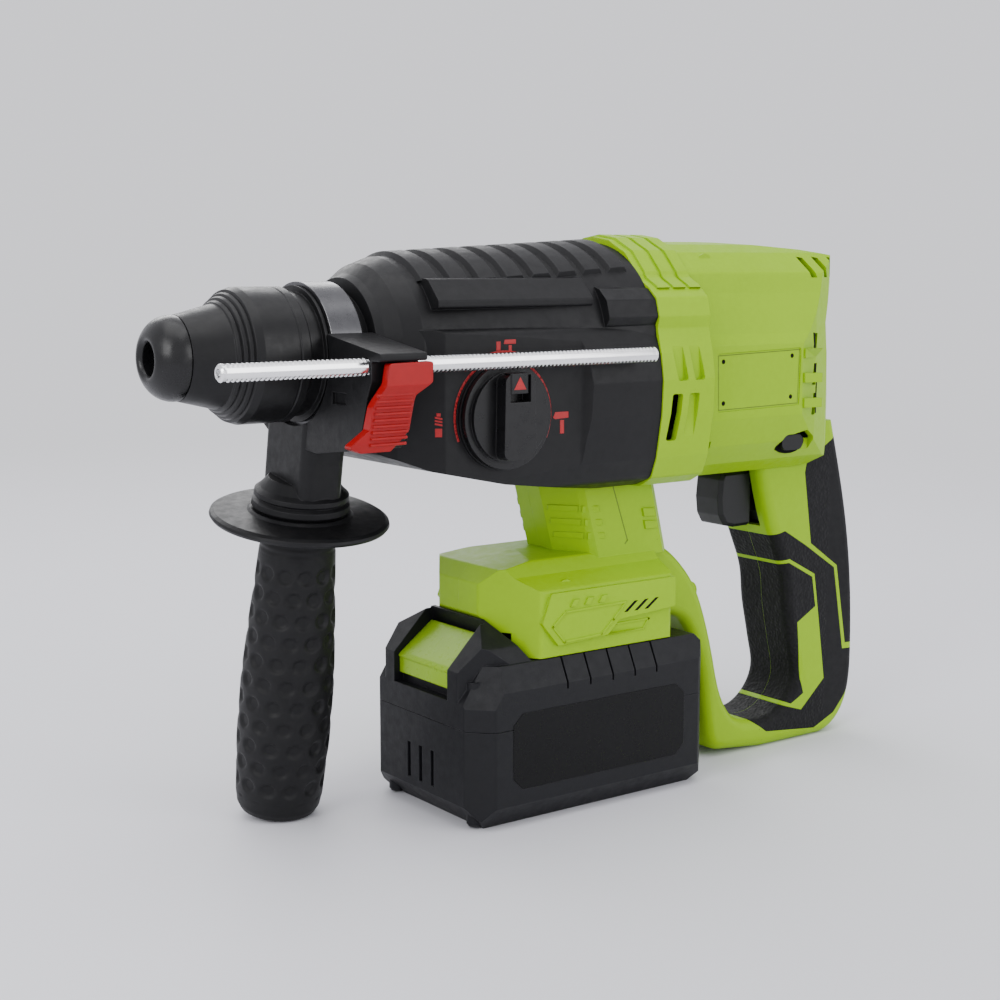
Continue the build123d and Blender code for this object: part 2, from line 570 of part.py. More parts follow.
with BuildPart() as striker:
    turned([(33, 0), (33, 8.4), (36, 8.4), (36, 7.2), (38, 7.2), (38, 8.4), (51, 8.4), (53, 6.5), (53, 0)], SPINDLE_Z)
finish(striker, "striker")

with BuildPart() as anvil:
    turned([(70, 0), (70, 6), (88, 6), (88, 8.92), (106, 8.92), (108, 7), (108, 4.85), (112.4, 4.85), (112.4, 0)], SPINDLE_Z)
finish(anvil, "anvil")

with BuildPart() as intermediate_shaft:
    rod_along_x(-23, 60, 4.0, 0, SHAFT_Z)
    gear(PINION_TEETH, GEAR_MODULE, 41, 51, SHAFT_Z, pi / 2)
finish(intermediate_shaft, "intermediate_shaft")

with BuildPart() as driven_gear:
    gear(DRIVEN_TEETH, MOTOR_MODULE, -14, -6, SHAFT_Z, pi / 2 + pi / DRIVEN_TEETH)
    ring(-15, -5, 0, 4.0, SHAFT_Z, mode=Mode.SUBTRACT)
    for x_low, x_high in ((-15, -12), (-8, -5)):
        ring(x_low, x_high, 7, 12.5, SHAFT_Z, mode=Mode.SUBTRACT)
finish(driven_gear, "driven_gear")

with BuildPart() as wobble_hub:
    with Locations((PIN_X, 0, SHAFT_Z)):
        Sphere(9.4)
    ring(-4, 1.6, 0, 20, SHAFT_Z, mode=Mode.SUBTRACT)
    ring(18.4, 24, 0, 20, SHAFT_Z, mode=Mode.SUBTRACT)
    ring(-4, 24, 0, 4.0, SHAFT_Z, mode=Mode.SUBTRACT)
finish(wobble_hub, "wobble_hub")

FINGER_TOP_Z = SPINDLE_Z - 3.5 - 0.6
with BuildPart() as wobble_ring:
    ring(PIN_X - 4, PIN_X + 4, 9.6, 14.0, SHAFT_Z)
    rod_along_z(SHAFT_Z + 12, FINGER_TOP_Z, 2.8, PIN_X, 0)
finish(wobble_ring, "wobble_ring")

with BuildPart() as shift_sleeve:
    ring(25, 36, 4.05, 8.6, SHAFT_Z)
    ring(29, 32.6, 6.4, 12, SHAFT_Z, mode=Mode.SUBTRACT)
finish(shift_sleeve, "shift_sleeve")

FORK_Y = 30.0
with BuildPart() as shift_fork:
    cross_prism([(6, SHAFT_Z + 6), (9, SHAFT_Z - 6), (14, SHAFT_Z - 6), (19, SHAFT_Z + 5), (33, SHAFT_Z + 10),
                 (33, SHAFT_Z + 16), (16, SHAFT_Z + 13)], 29.3, 32.3)
    ring(28, 34, 0, 6.7, SHAFT_Z, mode=Mode.SUBTRACT)
    side_prism([(29.3, 156), (38, 149.5), (54, 149.5), (54, 165), (38, 165), (29.3, 163)], FORK_Y, FORK_Y + 3)
    rod_along_x(27.3, 34.3, 4.4, 22, SHAFT_Z + 11.5)
    rod_along_x(20, 40, 2.55, 22, SHAFT_Z + 11.5, mode=Mode.SUBTRACT)
    side_prism([(KNOB_X - 3.0, 152.6), (KNOB_X + 3.0, 152.6), (KNOB_X + 3.0, 161.6), (KNOB_X - 3.0, 161.6)],
               FORK_Y - 1, FORK_Y + 4, mode=Mode.SUBTRACT)
finish(shift_fork, "shift_fork")

with BuildPart() as shift_rod:
    rod_along_x(14, 54, 2.5, 22, SHAFT_Z + 11.5)
finish(shift_rod, "shift_rod")

with BuildPart() as mechanism_frame:
    cross_prism(both_sides([(0, 199), (15, 196), (22, 186), (25, 170), (25.5, 155), (20, 139), (0, 137.6)]), 54, 60,
                round_by=2)
    ring(53, 61, 0, 19.0, SPINDLE_Z, mode=Mode.SUBTRACT)
    ring(53, 61, 0, 8.0, SHAFT_Z, mode=Mode.SUBTRACT)
    rod_along_x(53.9, 61, 2.5, 22, SHAFT_Z + 11.5, mode=Mode.SUBTRACT)
finish(mechanism_frame, "mechanism_frame")

# one row per bearing: rear face, front face, bore and outer radius, height of its shaft
BEARINGS = [(54.0, 60.0, TUBE_R, 19.0, SPINDLE_Z), (86.0, 97.5, 13.0, 18.5, SPINDLE_Z),
            (54.2, 59.2, 4.0, 8.0, SHAFT_Z), (-22.0, -17.0, 4.0, 8.0, SHAFT_Z),
            (-23.0, -19.6, 2.5, 6.6, MOTOR_Z), (-111.5, -106.0, 2.5, 7.95, MOTOR_Z)]
with BuildPart() as bearings:
    for rear, front, bore, outer, height in BEARINGS:
        ring(rear, front, bore + 0.03, outer, height)
        ring(rear - 0.1, rear + 0.5, bore + 1.2, outer - 1.1, height, mode=Mode.SUBTRACT)
        ring(front - 0.5, front + 0.1, bore + 1.2, outer - 1.1, height, mode=Mode.SUBTRACT)
finish(bearings, "bearings")

with BuildPart() as oil_seal:
    ring(100, 106, 13.03, 16.5, SPINDLE_Z)
    ring(104.5, 107, 14, 15.6, SPINDLE_Z, mode=Mode.SUBTRACT)
finish(oil_seal, "oil_seal")

with BuildPart() as bearing_plate:
    cross_prism(both_sides([(0, 212), (20, 206), (31, 194), (36.8, 178), (36.8, 148), (33, 128.5), (0, 127.2)]), -23, -16,
                round_by=2)
    ring(-24, -15, 0, 8.0, SHAFT_Z, mode=Mode.SUBTRACT)
    ring(-24, -15, 0, 6.6, MOTOR_Z, mode=Mode.SUBTRACT)
    ring(-19.5, -15, 6.6, 17.0, MOTOR_Z, mode=Mode.SUBTRACT)
    ring(-17, -15, 0, 17.5, SHAFT_Z, mode=Mode.SUBTRACT)
    for side in (1, -1):
        for boss_y, boss_z in JOINT_SCREWS:
            rod_along_x(-24, -15, 5.3, side * boss_y, boss_z, mode=Mode.SUBTRACT)
finish(bearing_plate, "bearing_plate")

with BuildPart() as joint_screws:
    for side in (1, -1):
        for boss_y, boss_z in JOINT_SCREWS:
            rod_along_x(-37, -34, 3.8, side * boss_y, boss_z)
            rod_along_x(-34, -12, 2.0, side * boss_y, boss_z)
finish(joint_screws, "joint_screws")


# ---------------------------------------------------------------- motor and electronics
with BuildPart() as motor_stator:
    ring(-99.4, -62.1, 13.2, STATOR_R, MOTOR_Z)
    for angle in range(0, 360, 60):
        slot_y = 19.4 * cos(radians(angle))
        slot_z = 19.4 * sin(radians(angle))
        rod_along_x(-100, -61, 3.2, slot_y, MOTOR_Z + slot_z, mode=Mode.SUBTRACT)
finish(motor_stator, "motor_stator")

with BuildPart() as stator_windings:
    for angle in range(0, 360, 60):
        slot_y = 19.4 * cos(radians(angle))
        slot_z = 19.4 * sin(radians(angle))
        rod_along_x(-103, -58, 3.15, slot_y, MOTOR_Z + slot_z)
finish(stator_windings, "stator_windings")

with BuildPart() as motor_rotor:
    ring(-97, -64, 0, 12.8, MOTOR_Z)
    ring(-112, -15, 0, 2.5, MOTOR_Z)
    gear(MOTOR_TEETH, MOTOR_MODULE, -15, -5, MOTOR_Z, -pi / 2)
finish(motor_rotor, "motor_rotor")

with BuildPart() as cooling_fan:
    ring(-56, -54, 2.5, 24, MOTOR_Z)
    ring(-56, -34, 2.5, 6, MOTOR_Z)
    for angle in range(0, 360, 30):
        with BuildSketch(Plane.YZ.offset(-54.5)) as blade:
            with Locations((0, MOTOR_Z)):
                with PolarLocations(15, 1, start_angle=angle):
                    Rectangle(18.6, 1.2)
        extrude(blade.sketch, amount=16)
finish(cooling_fan, "cooling_fan")

with BuildPart() as controller_board:
    block(-96, -48, -15, 15, 126, 128, round_by=2)
    for index in range(6):
        block(-92 + 7 * index, -88 + 7 * index, -14, -4, 128, 132)
    block(-90, -60, 4, 14, 128, 136, round_by=1)
finish(controller_board, "controller_board")

with BuildPart() as switch_module:
    block(-147, -119.3, -11.3, 11.3, 97, 121.2, round_by=1.5)
finish(switch_module, "switch_module")

TRIGGER_SIDE = [(-87.8, 110), (-88.6, 118), (-90, 121.3), (-107, 121.3), (-107, 97.4), (-97, 97.2), (-91.4, 98.4),
                (-88.6, 103)]
with BuildPart() as trigger:
    side_prism(TRIGGER_SIDE, -8.2, 8.2, round_by=2.0)
    long_edges = trigger.edges().filter_by(lambda edge: abs(edge.center().Y) > 8.1)
    chamfer(long_edges.filter_by_position(Axis.X, -102, -80), 1.6)
    block(-111.8, -104, -5, 5, 103, 115)
finish(trigger, "trigger")

with BuildPart() as direction_slider:
    side_prism(slider_outline(0), -30.5, 30.5, round_by=2.8)
finish(direction_slider, "direction_slider")

with BuildPart() as terminal_block:
    block(-32, -8, -16, 16, 74.2, 80.0, round_by=1)
finish(terminal_block, "terminal_block")

with BuildPart() as tool_terminals:
    for terminal_y in (-12, -4, 4, 12):
        block(-29, -14, terminal_y - 0.4, terminal_y + 0.4, 66.8, 74.2)
finish(tool_terminals, "tool_terminals")


# ---------------------------------------------------------------- mode knob
with BuildPart() as mode_knob:
    rod_along_y(FLANK_Y, FLANK_Y + 2.2, KNOB_R, KNOB_X, KNOB_Z)
    rod_along_y(FLANK_Y + 2, FLANK_Y + 4.0, KNOB_R - 2.6, KNOB_X, KNOB_Z)
    side_prism([(KNOB_X - 7, KNOB_Z - 15), (KNOB_X + 7, KNOB_Z - 15), (KNOB_X + 6.4, KNOB_Z + 15.4),
                (KNOB_X - 6.4, KNOB_Z + 15.4)], FLANK_Y + 2, FLANK_Y + 9.4, round_by=3)
    rod_along_y(33.4, FLANK_Y + 1, 6.2, KNOB_X, KNOB_Z)
    rod_along_y(FORK_Y - 0.5, 36, 2.0, KNOB_X, KNOB_Z + 4.0)
    block(KNOB_X - 4.5, KNOB_X + 4.5, FLANK_Y + 4.4, FLANK_Y + 12, KNOB_Z + 5.6, KNOB_Z + 16, mode=Mode.SUBTRACT)
finish(mode_knob, "mode_knob")

with BuildPart() as knob_release:
    block(KNOB_X - 4.2, KNOB_X + 4.2, FLANK_Y + 4.7, FLANK_Y + 9.0, KNOB_Z + 8.6, KNOB_Z + 15.8, round_by=1.0)
finish(knob_release, "knob_release")


# ---------------------------------------------------------------- battery pack
PACK_SECTION = both_sides([(0, 0), (30.6, 0), (BATTERY_HALF_Y, 9), (BATTERY_HALF_Y, 52.5), (33.4, BATTERY_DECK_Z),
                           (0, BATTERY_DECK_Z)])
PACK_SIDE = [(-51, 0), (51, 0), (BATTERY_HALF_X, 9), (BATTERY_HALF_X, 48), (50, BATTERY_DECK_Z),
             (-51, BATTERY_DECK_Z), (-BATTERY_HALF_X, 52.5), (-BATTERY_HALF_X, 9)]
PACK_CORNER = 8.4
PACK_PLAN = plan_both([(BATTERY_HALF_X, 0), (BATTERY_HALF_X, BATTERY_HALF_Y - PACK_CORNER),
                       (BATTERY_HALF_X - PACK_CORNER, BATTERY_HALF_Y), (PACK_CORNER - BATTERY_HALF_X, BATTERY_HALF_Y),
                       (-BATTERY_HALF_X, BATTERY_HALF_Y - PACK_CORNER), (-BATTERY_HALF_X, 0)])
HOOD_SIDE = [(BATTERY_HALF_X, 40), (BATTERY_HALF_X, 59.4), (42.4, 76.0), (40.7, 76.2), (29.9, 61.2), (29.9, 40)]
HOOD_SECTION = both_sides([(0, 77), (15, 77), (29.5, 67.5), (35, 57), (37, 52), (37, 40), (0, 40)])
HOOD_PLAN = plan_both([(BATTERY_HALF_X, 0), (BATTERY_HALF_X, 25), (29.5, 36.8), (29.5, 0)])
BUTTON_SIDE = [(56.3, 51.0), (56.3, 57.0), (57.0, 58.0), (55.6, 59.4), (41.2, 70.2), (39.8, 69.2), (39.8, 67.2),
               (54.9, 56.6), (54.9, 51.0)]
POCKET_SIDE = [(61, 47.8), (61, 80), (43.9, 80), (42.2, 75.8), (39.4, 69.9), (39.4, 64.0), (54.5, 53.4),
               (54.5, 47.8)]
BUTTON_HALF_Y = 18.0
CORNER_BEVEL = (0.643, 0.646, 0.410)   # outward normal of the two bevels at the front upper corners
LABEL_SIDE = [(38, 14.7), (42.3, 19), (42.3, 39.5), (38, 43.8), (-38, 43.8), (-42.3, 39.5), (-42.3, 19), (-38, 14.7)]
PACK_SCREWS = [(52.0, 27.0), (52.0, -27.0), (-52.0, 27.0), (-52.0, -27.0)]
PACK_WALL = 2.4


def pack_block(inset):
    """Outer block of the battery, with bevelled edges all round."""
    side_prism(PACK_SIDE, -50, 50, inset=inset)
    cross_prism(PACK_SECTION, -70, 70, inset=inset, mode=Mode.INTERSECT)
    plan_prism(PACK_PLAN, -1, 90, round_by=2.0, inset=inset, mode=Mode.INTERSECT)
    across, sideways, upwards = CORNER_BEVEL
    for side in (1, -1):
        bevel = Plane(origin=(BATTERY_HALF_X, side * 28.7, 47.8), z_dir=(across, side * sideways, upwards))
        prism(bevel.offset(-inset), [(-40, -40), (40, -40), (40, 40), (-40, 40)], 20, mode=Mode.SUBTRACT)


with BuildPart() as pack_outer:
    pack_block(0)

with BuildPart() as pack_core:
    pack_block(PACK_WALL)

with BuildPart() as hood:
    side_prism(HOOD_SIDE, -38, 38, round_by=0.5)
    cross_prism(HOOD_SECTION, 20, 60, round_by=2.0, mode=Mode.INTERSECT)
    plan_prism(HOOD_PLAN, 30, 90, round_by=1.0, mode=Mode.INTERSECT)

with BuildPart() as battery_lower_case:
    add(pack_outer.part)
    add(pack_core.part, mode=Mode.SUBTRACT)
    block(-70, 70, -50, 50, BATTERY_SEAM_Z, 90, mode=Mode.SUBTRACT)
    for screw_x, screw_y in PACK_SCREWS:
        rod_along_z(1.5, BATTERY_SEAM_Z, 3.4, screw_x, screw_y)
        rod_along_z(-1, 60, 1.6, screw_x, screw_y, mode=Mode.SUBTRACT)
        rod_along_z(-1, 3.0, 3.0, screw_x, screw_y, mode=Mode.SUBTRACT)
    for side in (1, -1):
        low, high = sorted((side * (BATTERY_HALF_Y - 0.8), side * 50))
        side_prism(LABEL_SIDE, low, high, mode=Mode.SUBTRACT)
    for slot_y in (-8, 0, 8):
        block(BATTERY_HALF_X - 1.4, 60, slot_y - 1.1, slot_y + 1.1, 12, 26, mode=Mode.SUBTRACT)
finish(battery_lower_case, "battery_lower_case")

with BuildPart() as battery_upper_case:
    add(pack_outer.part)
    add(hood.part)
    add(pack_core.part, mode=Mode.SUBTRACT)
    block(-70, 70, -50, 50, -5, BATTERY_SEAM_Z + 0.2, mode=Mode.SUBTRACT)
    block(-35.8, 30.5, -20.2, 20.2, BATTERY_DECK_Z - 1, 65.4)
    block(-35.8, 30.5, -23.6, 23.6, 64.8, 70.6, round_by=1.5)
    for slot_y in (-12, -4, 4, 12):
        block(-40, -12, slot_y - 1.6, slot_y + 1.6, 66.2, 74, mode=Mode.SUBTRACT)
    side_prism([(37, 61), (37, 58), (50, 45.8), (58.2, 45.8), (58.2, 59)], -22, 22)
    side_prism(POCKET_SIDE, -BUTTON_HALF_Y - GAP, BUTTON_HALF_Y + GAP, mode=Mode.SUBTRACT)
    for screw_x, screw_y in PACK_SCREWS:
        rod_along_z(BATTERY_SEAM_Z + 0.2, 56, 3.4, screw_x, screw_y)
        rod_along_z(30, 47.5, 1.4, screw_x, screw_y, mode=Mode.SUBTRACT)
    for side in (1, -1):
        low, high = sorted((side * (BATTERY_HALF_Y - 0.8), side * 50))
        side_prism(LABEL_SIDE, low, high, mode=Mode.SUBTRACT)
        for index in range(5):
            middle = 16.8 - 11.1 * index
            cross_prism([(side * 37.1, 50), (side * 32.5, 60.9), (side * 32.5, 63), (side * 40, 63), (side * 40, 50)],
                        middle - 0.45, middle + 0.45, mode=Mode.SUBTRACT)
finish(battery_upper_case, "battery_upper_case")

with BuildPart() as battery_labels:
    for side in (1, -1):
        low, high = sorted((side * (BATTERY_HALF_Y - 0.8), side * (BATTERY_HALF_Y + 0.1)))
        side_prism(LABEL_SIDE, low, high)
finish(battery_labels, "battery_labels")

with BuildPart() as battery_button:
    side_prism(BUTTON_SIDE, -BUTTON_HALF_Y, BUTTON_HALF_Y, round_by=0.6)
finish(battery_button, "battery_button")

with BuildPart() as battery_cells:
    for layer_z in (15.4, 15.4 + 2 * CELL_R + 0.2):
        for index in range(5):
            rod_along_y(-CELL_LENGTH / 2, CELL_LENGTH / 2, CELL_R, (index - 2) * CELL_PITCH, layer_z)
finish(battery_cells, "battery_cells")

with BuildPart() as cell_frames:
    for frame_y in (-21, 21):
        side_prism([(-50.5, 5.6), (50.5, 5.6), (50.5, 43.6), (-50.5, 43.6)], frame_y - 2, frame_y + 2, round_by=3)
    for layer_z in (15.4, 15.4 + 2 * CELL_R + 0.2):
        for index in range(5):
            rod_along_y(-40, 40, CELL_R + 0.05, (index - 2) * CELL_PITCH, layer_z, mode=Mode.SUBTRACT)
finish(cell_frames, "cell_frames")

with BuildPart() as battery_board:
    block(-44, 36, -20, 20, 46, 47.6, round_by=2)
    for index in range(4):
        block(-38 + 12 * index, -31 + 12 * index, -12, -4, 47.6, 50.0)
finish(battery_board, "battery_board")

with BuildPart() as battery_screws:
    for screw_x, screw_y in PACK_SCREWS:
        rod_along_z(0.6, 3.0, 2.8, screw_x, screw_y)
        rod_along_z(3.0, 47, 1.4, screw_x, screw_y)
finish(battery_screws, "battery_screws")


# ---------------------------------------------------------------- side handle with depth rod
TILT = radians(HANDLE_TILT)
HANDLE_PLANE = Plane(origin=(HANDLE_X, 0, SPINDLE_Z), x_dir=(1, 0, 0), z_dir=(0, sin(TILT), cos(TILT)))
ARM_SECTION = [(-10, 168), (12, 188), (27, 184.8), (58.2, 180.0), (58.2, 177.4), (52.6, 177.4),
               (52.6, 171), (49.6, 165), (45.2, 151), (42, 147.0), (16, 143.6), (-14, 146), (-24, 152)]
ARM_REAR_X = 93.1
ARM_FRONT_X = 111.3
DISC_TOP = -58.2


def handle_turned(profile, mode=Mode.ADD):
    """Solid of revolution about the handle's own axis, from (radius, height) points."""
    section_plane = Plane(origin=HANDLE_PLANE.origin, x_dir=(1, 0, 0), z_dir=HANDLE_PLANE.y_dir)
    with BuildSketch(section_plane) as half_section:
        with BuildLine():
            Polyline(*[(radius, -height) for radius, height in profile], close=True)
        make_face()
    revolve(half_section.sketch, axis=Axis(HANDLE_PLANE.origin, HANDLE_PLANE.z_dir), mode=mode)


def handle_block(x_half, y_half, z_low, z_high, round_by=0.0, mode=Mode.ADD):
    """Block centred on the handle's axis, between two distances along it."""
    corners = [(-x_half, -y_half), (x_half, -y_half), (x_half, y_half), (-x_half, y_half)]
    prism(HANDLE_PLANE.offset(z_low), corners, z_high - z_low, round_by, mode=mode)


with BuildPart() as clamp_band:
    ring(HANDLE_X - BAND_HALF, HANDLE_X + BAND_HALF, 0, BAND_R, SPINDLE_Z)
    handle_block(BAND_HALF - 0.3, 7, -34, -22)
    ring(HANDLE_X - 10, HANDLE_X + 10, 0, NOSE_R + RUN, SPINDLE_Z, mode=Mode.SUBTRACT)
    handle_turned([(0, -20), (4.0, -20), (4.0, -40), (0, -40)], mode=Mode.SUBTRACT)
finish(clamp_band, "clamp_band")

with BuildPart() as side_handle_yoke:
    cross_prism(ARM_SECTION, ARM_REAR_X, ARM_FRONT_X, round_by=1.0)
    handle_block(8.6, 15.6, -50, -22, round_by=4)
    handle_turned([(0, -46), (12.5, -46), (15.4, -49.5), (17.2, -51), (17.4, -52.6), (16.4, -53.4), (17.8, -54.6),
                   (18, -56.6), (17.4, -57.6), (0, -57.6)])
    ring(HANDLE_X - 30, HANDLE_X + 30, 0, BAND_R + 0.02, SPINDLE_Z, mode=Mode.SUBTRACT)
    handle_block(BAND_HALF, 7.3, -34.3, -20, mode=Mode.SUBTRACT)
    handle_turned([(0, -30), (4.2, -30), (4.2, -60), (0, -60)], mode=Mode.SUBTRACT)
    rod_along_x(80, 120, ROD_R + 0.08, ROD_Y, ROD_Z, mode=Mode.SUBTRACT)
    block(ARM_FRONT_X - 1.2, 125, 27, 36, 161.8, 165.8, mode=Mode.SUBTRACT)
finish(side_handle_yoke, "side_handle_yoke")

with BuildPart() as depth_lock_button:
    side_prism([(107.7, 176.8), (90.8, 177.1), (91.1, 170.3), (96.6, 166), (96.8, 154), (102.5, 146.9), (114, 146.9),
                (119.4, 149), (112.5, 154.6), (112.2, 162.4), (109, 169.6)], 40, 62, round_by=0.9)
    cross_prism([(55, 177.3), (55, 170.4), (51.8, 164.6), (47.6, 151), (46, 146.5), (49.6, 146.5), (51.4, 150),
                 (55.6, 164), (58.6, 169.4), (58.4, 177.3)], 85, 125, round_by=0.7, mode=Mode.INTERSECT)
    for index in range(9):
        rib_z = 149.6 + 2.1 * index
        rib_y = 51.6 + 0.3 * (rib_z - 150)
        rod_along_x(97.5, 111.5, 0.55, rib_y, rib_z)
finish(depth_lock_button, "depth_lock_button")

with BuildPart() as clamp_bolt:
    handle_turned([(0, -27), (4.0, -27), (4.0, -88), (0, -88)])
finish(clamp_bolt, "clamp_bolt")

GRIP_PROFILE = [(13.2, -65), (13.9, -70), (14.9, -86), (16.15, -102), (17.5, -125), (17.6, -148), (16.6, -170),
                (15.9, -174.6), (14.6, -177.2), (12.8, -HANDLE_REACH)]
with BuildPart() as side_grip:
    handle_turned([(4.3, -57.9), (18.4, -57.9), (19.4, -58.8), (31.2, -59.4), (32.6, -60.2), (32.9, -61.2), (32.2, -62.2),
                   (14.2, -64.7), (10.5, -64.7), (10.5, -171), (4.3, -171)])
    handle_block(7.2, 7.2, -88, -80, mode=Mode.SUBTRACT)
finish(side_grip, "side_grip")

with BuildPart() as clamp_nut:
    with BuildSketch(HANDLE_PLANE.offset(-87)) as nut_outline:
        RegularPolygon(7.0, 6)
        Circle(4.05, mode=Mode.SUBTRACT)
    extrude(nut_outline.sketch, amount=6)
finish(clamp_nut, "clamp_nut")

with BuildPart() as side_grip_rubber:
    handle_turned([(10.5, -65)] + GRIP_PROFILE + [(0, -HANDLE_REACH), (0, -171.2), (10.5, -171.2)])
finish(side_grip_rubber, "side_grip_rubber")

with BuildPart() as depth_rod:
    rod_along_x(ROD_REAR_X, ROD_FRONT_X, ROD_R, ROD_Y, ROD_Z)
finish(depth_rod, "depth_rod")
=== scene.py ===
import bpy
import bmesh
import json
from math import cos, floor, pi, radians, sin, sqrt
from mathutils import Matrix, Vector
from mathutils.bvhtree import BVHTree


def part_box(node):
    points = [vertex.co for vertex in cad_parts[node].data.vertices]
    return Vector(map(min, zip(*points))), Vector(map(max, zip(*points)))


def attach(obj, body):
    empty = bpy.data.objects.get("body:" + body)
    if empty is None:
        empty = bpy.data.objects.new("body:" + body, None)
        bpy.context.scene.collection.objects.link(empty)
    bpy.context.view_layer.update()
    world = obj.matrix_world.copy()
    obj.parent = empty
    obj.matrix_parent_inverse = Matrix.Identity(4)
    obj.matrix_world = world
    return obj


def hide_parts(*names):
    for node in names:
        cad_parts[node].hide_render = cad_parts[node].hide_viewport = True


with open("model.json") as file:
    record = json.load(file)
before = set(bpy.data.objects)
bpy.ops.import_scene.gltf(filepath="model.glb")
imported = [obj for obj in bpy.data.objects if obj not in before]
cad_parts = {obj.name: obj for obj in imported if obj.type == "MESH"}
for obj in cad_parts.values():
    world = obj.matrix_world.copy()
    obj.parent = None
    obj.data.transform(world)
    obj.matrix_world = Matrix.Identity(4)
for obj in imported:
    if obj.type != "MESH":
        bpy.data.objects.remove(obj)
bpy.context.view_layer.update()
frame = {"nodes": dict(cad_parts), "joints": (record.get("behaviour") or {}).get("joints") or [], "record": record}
nodes = frame["nodes"]
MM = 0.001


# ---------------------------------------------------------------- materials
class Nodes:
    """A small wrapper that adds shader nodes and links their sockets."""

    def __init__(self, name):
        self.material = bpy.data.materials.new(name)
        self.material.use_nodes = True
        self.tree = self.material.node_tree
        self.shader = self.tree.nodes["Principled BSDF"]
        self.place = self.add("ShaderNodeTexCoord").outputs["Object"]

    def add(self, kind, **settings):
        node = self.tree.nodes.new(kind)
        for key, value in settings.items():
            setattr(node, key, value)
        return node

    def feed(self, source, target):
        if isinstance(source, bpy.types.NodeSocket):
            self.tree.links.new(source, target)
        else:
            target.default_value = source

    def math(self, operation, *values, clamp=False):
        node = self.add("ShaderNodeMath", operation=operation, use_clamp=clamp)
        for slot, value in enumerate(values):
            self.feed(value, node.inputs[slot])
        return node.outputs[0]

    def stretch(self, value, low, high, to_low=0.0, to_high=1.0):
        node = self.add("ShaderNodeMapRange")
        entries = {"Value": value, "From Min": low, "From Max": high, "To Min": to_low, "To Max": to_high}
        for key, entry in entries.items():
            self.feed(entry, node.inputs[key])
        return node.outputs["Result"]

    def scaled(self, scale):
        node = self.add("ShaderNodeMapping")
        node.inputs["Scale"].default_value = scale
        self.feed(self.place, node.inputs["Vector"])
        return node.outputs["Vector"]

    def noise(self, scale, detail=2.0, rough=0.5, place=None):
        node = self.add("ShaderNodeTexNoise")
        self.feed(place or self.place, node.inputs["Vector"])
        node.inputs["Scale"].default_value = scale
        node.inputs["Detail"].default_value = detail
        node.inputs["Roughness"].default_value = rough
        return node.outputs["Fac"]

    def cells(self, scale, feature="F1", place=None, randomness=1.0):
        node = self.add("ShaderNodeTexVoronoi", feature=feature)
        self.feed(place or self.place, node.inputs["Vector"])
        node.inputs["Scale"].default_value = scale
        node.inputs["Randomness"].default_value = randomness
        return node.outputs["Distance"]

    def mix(self, share, first, second):
        node = self.add("ShaderNodeMix", data_type="RGBA")
        self.feed(share, node.inputs["Factor"])
        for value, target in ((first, node.inputs[6]), (second, node.inputs[7])):
            self.feed(value if isinstance(value, bpy.types.NodeSocket) else (*value, 1.0), target)
        return node.outputs[2]


def lighter(colour, factor):
    return tuple(min(1.0, c * factor) for c in colour)


